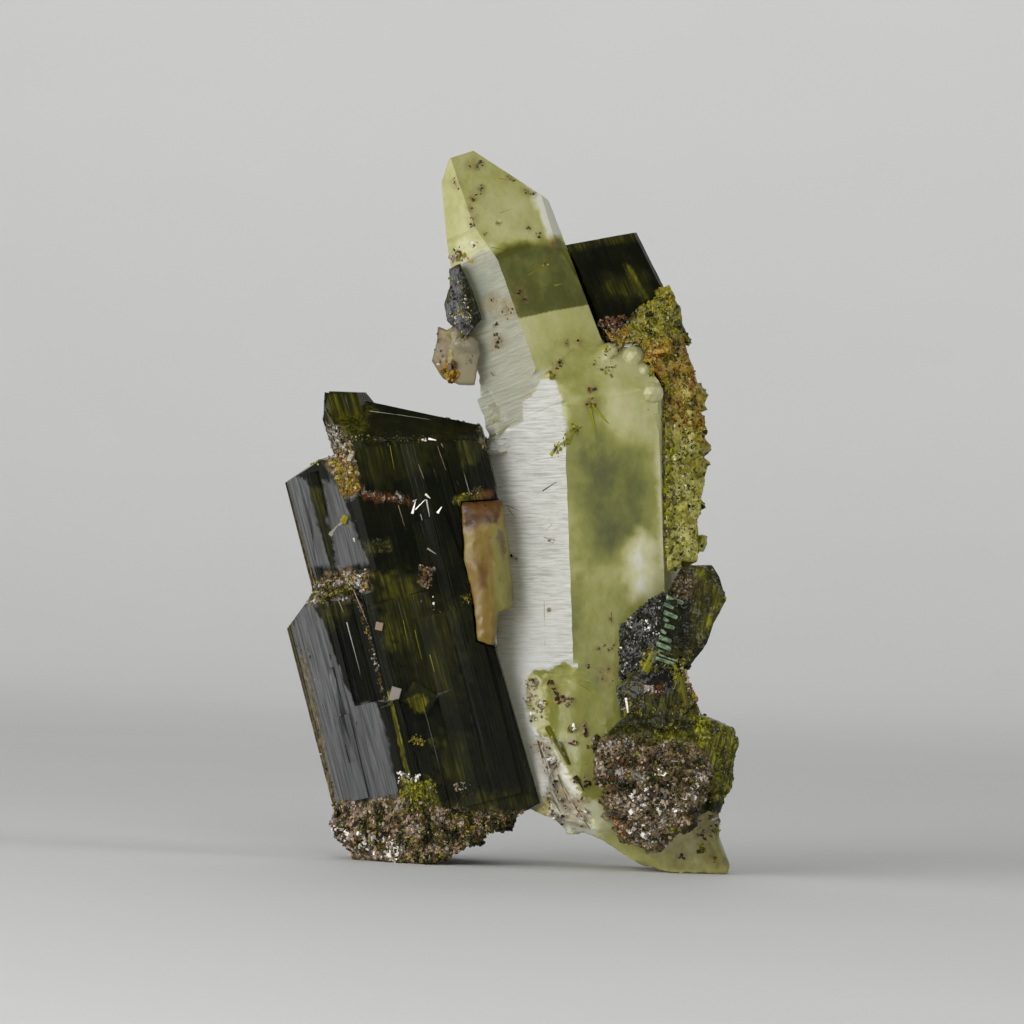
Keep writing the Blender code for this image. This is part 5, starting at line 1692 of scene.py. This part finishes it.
# The floor: its radius, its sweep up to the wall, and the wall's top
FLOOR_RADIUS, FLOOR_SWEEP, WALL_TOP = 800.0, 350.0, 1500.0
SWEEP_STEPS, TURN_STEPS = 24, 72
WALL_END = -100.0  # there is no wall in front of this, where the camera stands


def floor_shape():
    """A round floor that sweeps up into a wall, open in front."""
    profile = [Vector((0.0, 1.0, 0.0))]
    for step in range(SWEEP_STEPS + 1):
        angle = math.pi * 0.5 * step / SWEEP_STEPS
        out = FLOOR_RADIUS - FLOOR_SWEEP + FLOOR_SWEEP * math.sin(angle)
        profile.append(Vector((0.0, out, FLOOR_SWEEP * (1.0 - math.cos(angle)))))
    profile.append(Vector((0.0, FLOOR_RADIUS, WALL_TOP)))
    bm = bmesh.new()
    verts = [bm.verts.new(spot) for spot in profile]
    edges = [bm.edges.new(pair) for pair in zip(verts, verts[1:])]
    bmesh.ops.spin(
        bm, geom=verts + edges, cent=(0, 0, 0), axis=(0, 0, 1), dvec=(0, 0, 0),
        angle=math.radians(360), steps=TURN_STEPS, use_merge=True,
    )
    rim = [edge for edge in bm.edges if edge.is_boundary and edge.verts[0].co.z < 1.0]
    bmesh.ops.holes_fill(bm, edges=rim)
    middles = [(face, face.calc_center_median()) for face in bm.faces]
    wall = [face for face, middle in middles if middle.z > 0.1 and middle.y < WALL_END]
    bmesh.ops.delete(bm, geom=wall, context="FACES")
    bmesh.ops.recalc_face_normals(bm, faces=bm.faces)
    if min(bm.faces, key=lambda face: face.calc_center_median().z).normal.z < 0.0:
        bmesh.ops.reverse_faces(bm, faces=bm.faces)
    smooth_all(bm)
    bmesh.ops.scale(bm, vec=(MM, MM, MM), verts=bm.verts)
    return bm


def studio():
    """A pale floor that sweeps up behind."""
    stone = Finish("pale floor", {})
    tone = stone.noise(stone.space((60, 60, 60)), 2.0)
    material = stone.done(stone.mix(tone, (0.60, 0.60, 0.59), (0.64, 0.64, 0.63)), 0.7)
    floor = add_object("floor", as_mesh(floor_shape(), "floor"))
    floor.data.materials.append(material)


def softbox(name, place, aim, size, radiance, colour=(1, 1, 1)):
    """A soft rectangular light, given by how bright its face is."""
    light = bpy.data.lights.new(name, "AREA")
    light.shape = "RECTANGLE"
    light.size, light.size_y = size[0] * MM, size[1] * MM
    light.energy = radiance * math.pi * light.size * light.size_y
    light.color = colour
    lamp = add_object(name, light)
    lamp.location = Vector(place) * MM
    lamp.rotation_euler = (Vector(aim) - Vector(place)).to_track_quat("-Z", "Y").to_euler()


def lights():
    middle = (0, 0, 26)
    softbox("left light", (-380, -60, 90), middle, (260, 300), 2.6, (1.0, 0.99, 0.97))
    softbox("front left light", (-300, -330, 110), middle, (330, 330), 6.5)
    softbox("front light", (60, -420, 300), middle, (200, 200), 3.6)
    softbox("right light", (400, -110, 190), middle, (200, 200), 4.5)
    softbox("spark", (170, -293, 20), (9, -4, 22), (26, 44), 16.0)
    softbox("backdrop light", (0, 540, 560), (0, 800, 60), (700, 200), 4.0)
    world = bpy.data.worlds.new("room")
    world.use_nodes = True
    world.node_tree.nodes["Background"].inputs["Color"].default_value = (0.72, 0.76, 0.82, 1.0)
    world.node_tree.nodes["Background"].inputs["Strength"].default_value = 0.10
    bpy.context.scene.world = world


# The camera: how wide the picture is at the cluster's front, how far back that is, and its middle
LENS, SENSOR = 240.0, 36.0
VIEW_WIDTH, VIEW_DEPTH = 77.58, -3.0
VIEW_MIDDLE = -0.17, 26.9
ROLL = math.radians(2.06)


def camera():
    """Level with the middle of the cluster, and rolled as the photograph was taken."""
    data = bpy.data.cameras.new("camera")
    data.lens = LENS
    data.sensor_width = SENSOR
    data.clip_end = 20.0
    eye = add_object("camera", data)
    side, up = VIEW_MIDDLE
    eye.location = (side * MM, (VIEW_DEPTH - VIEW_WIDTH * LENS / SENSOR) * MM, up * MM)
    eye.rotation_euler = (math.pi * 0.5, -ROLL, 0.0)
    bpy.context.scene.camera = eye


quartz_crystals()
left_epidote()
rear_crystal()
foot_crystal()
sheaf()
shoulder_crystal()
granular_column()
stained = stained_finish()
stained_wedge(stained)
stained_chip(stained)
crust = grain_finish()
left_foot_crust(crust)
left_seam_crust(crust)
left_shards(crust)
quartz_inclusions(crust)
foot_crust(crust)
sheaf_details(crust)
sheaf_bars(mint_finish())
column_crust(crust)
rear_grains(crust)
seam_grains(crust)
shoulder_grains(crust)

studio()
lights()
camera()
bpy.context.scene.view_settings.view_transform = "Standard"
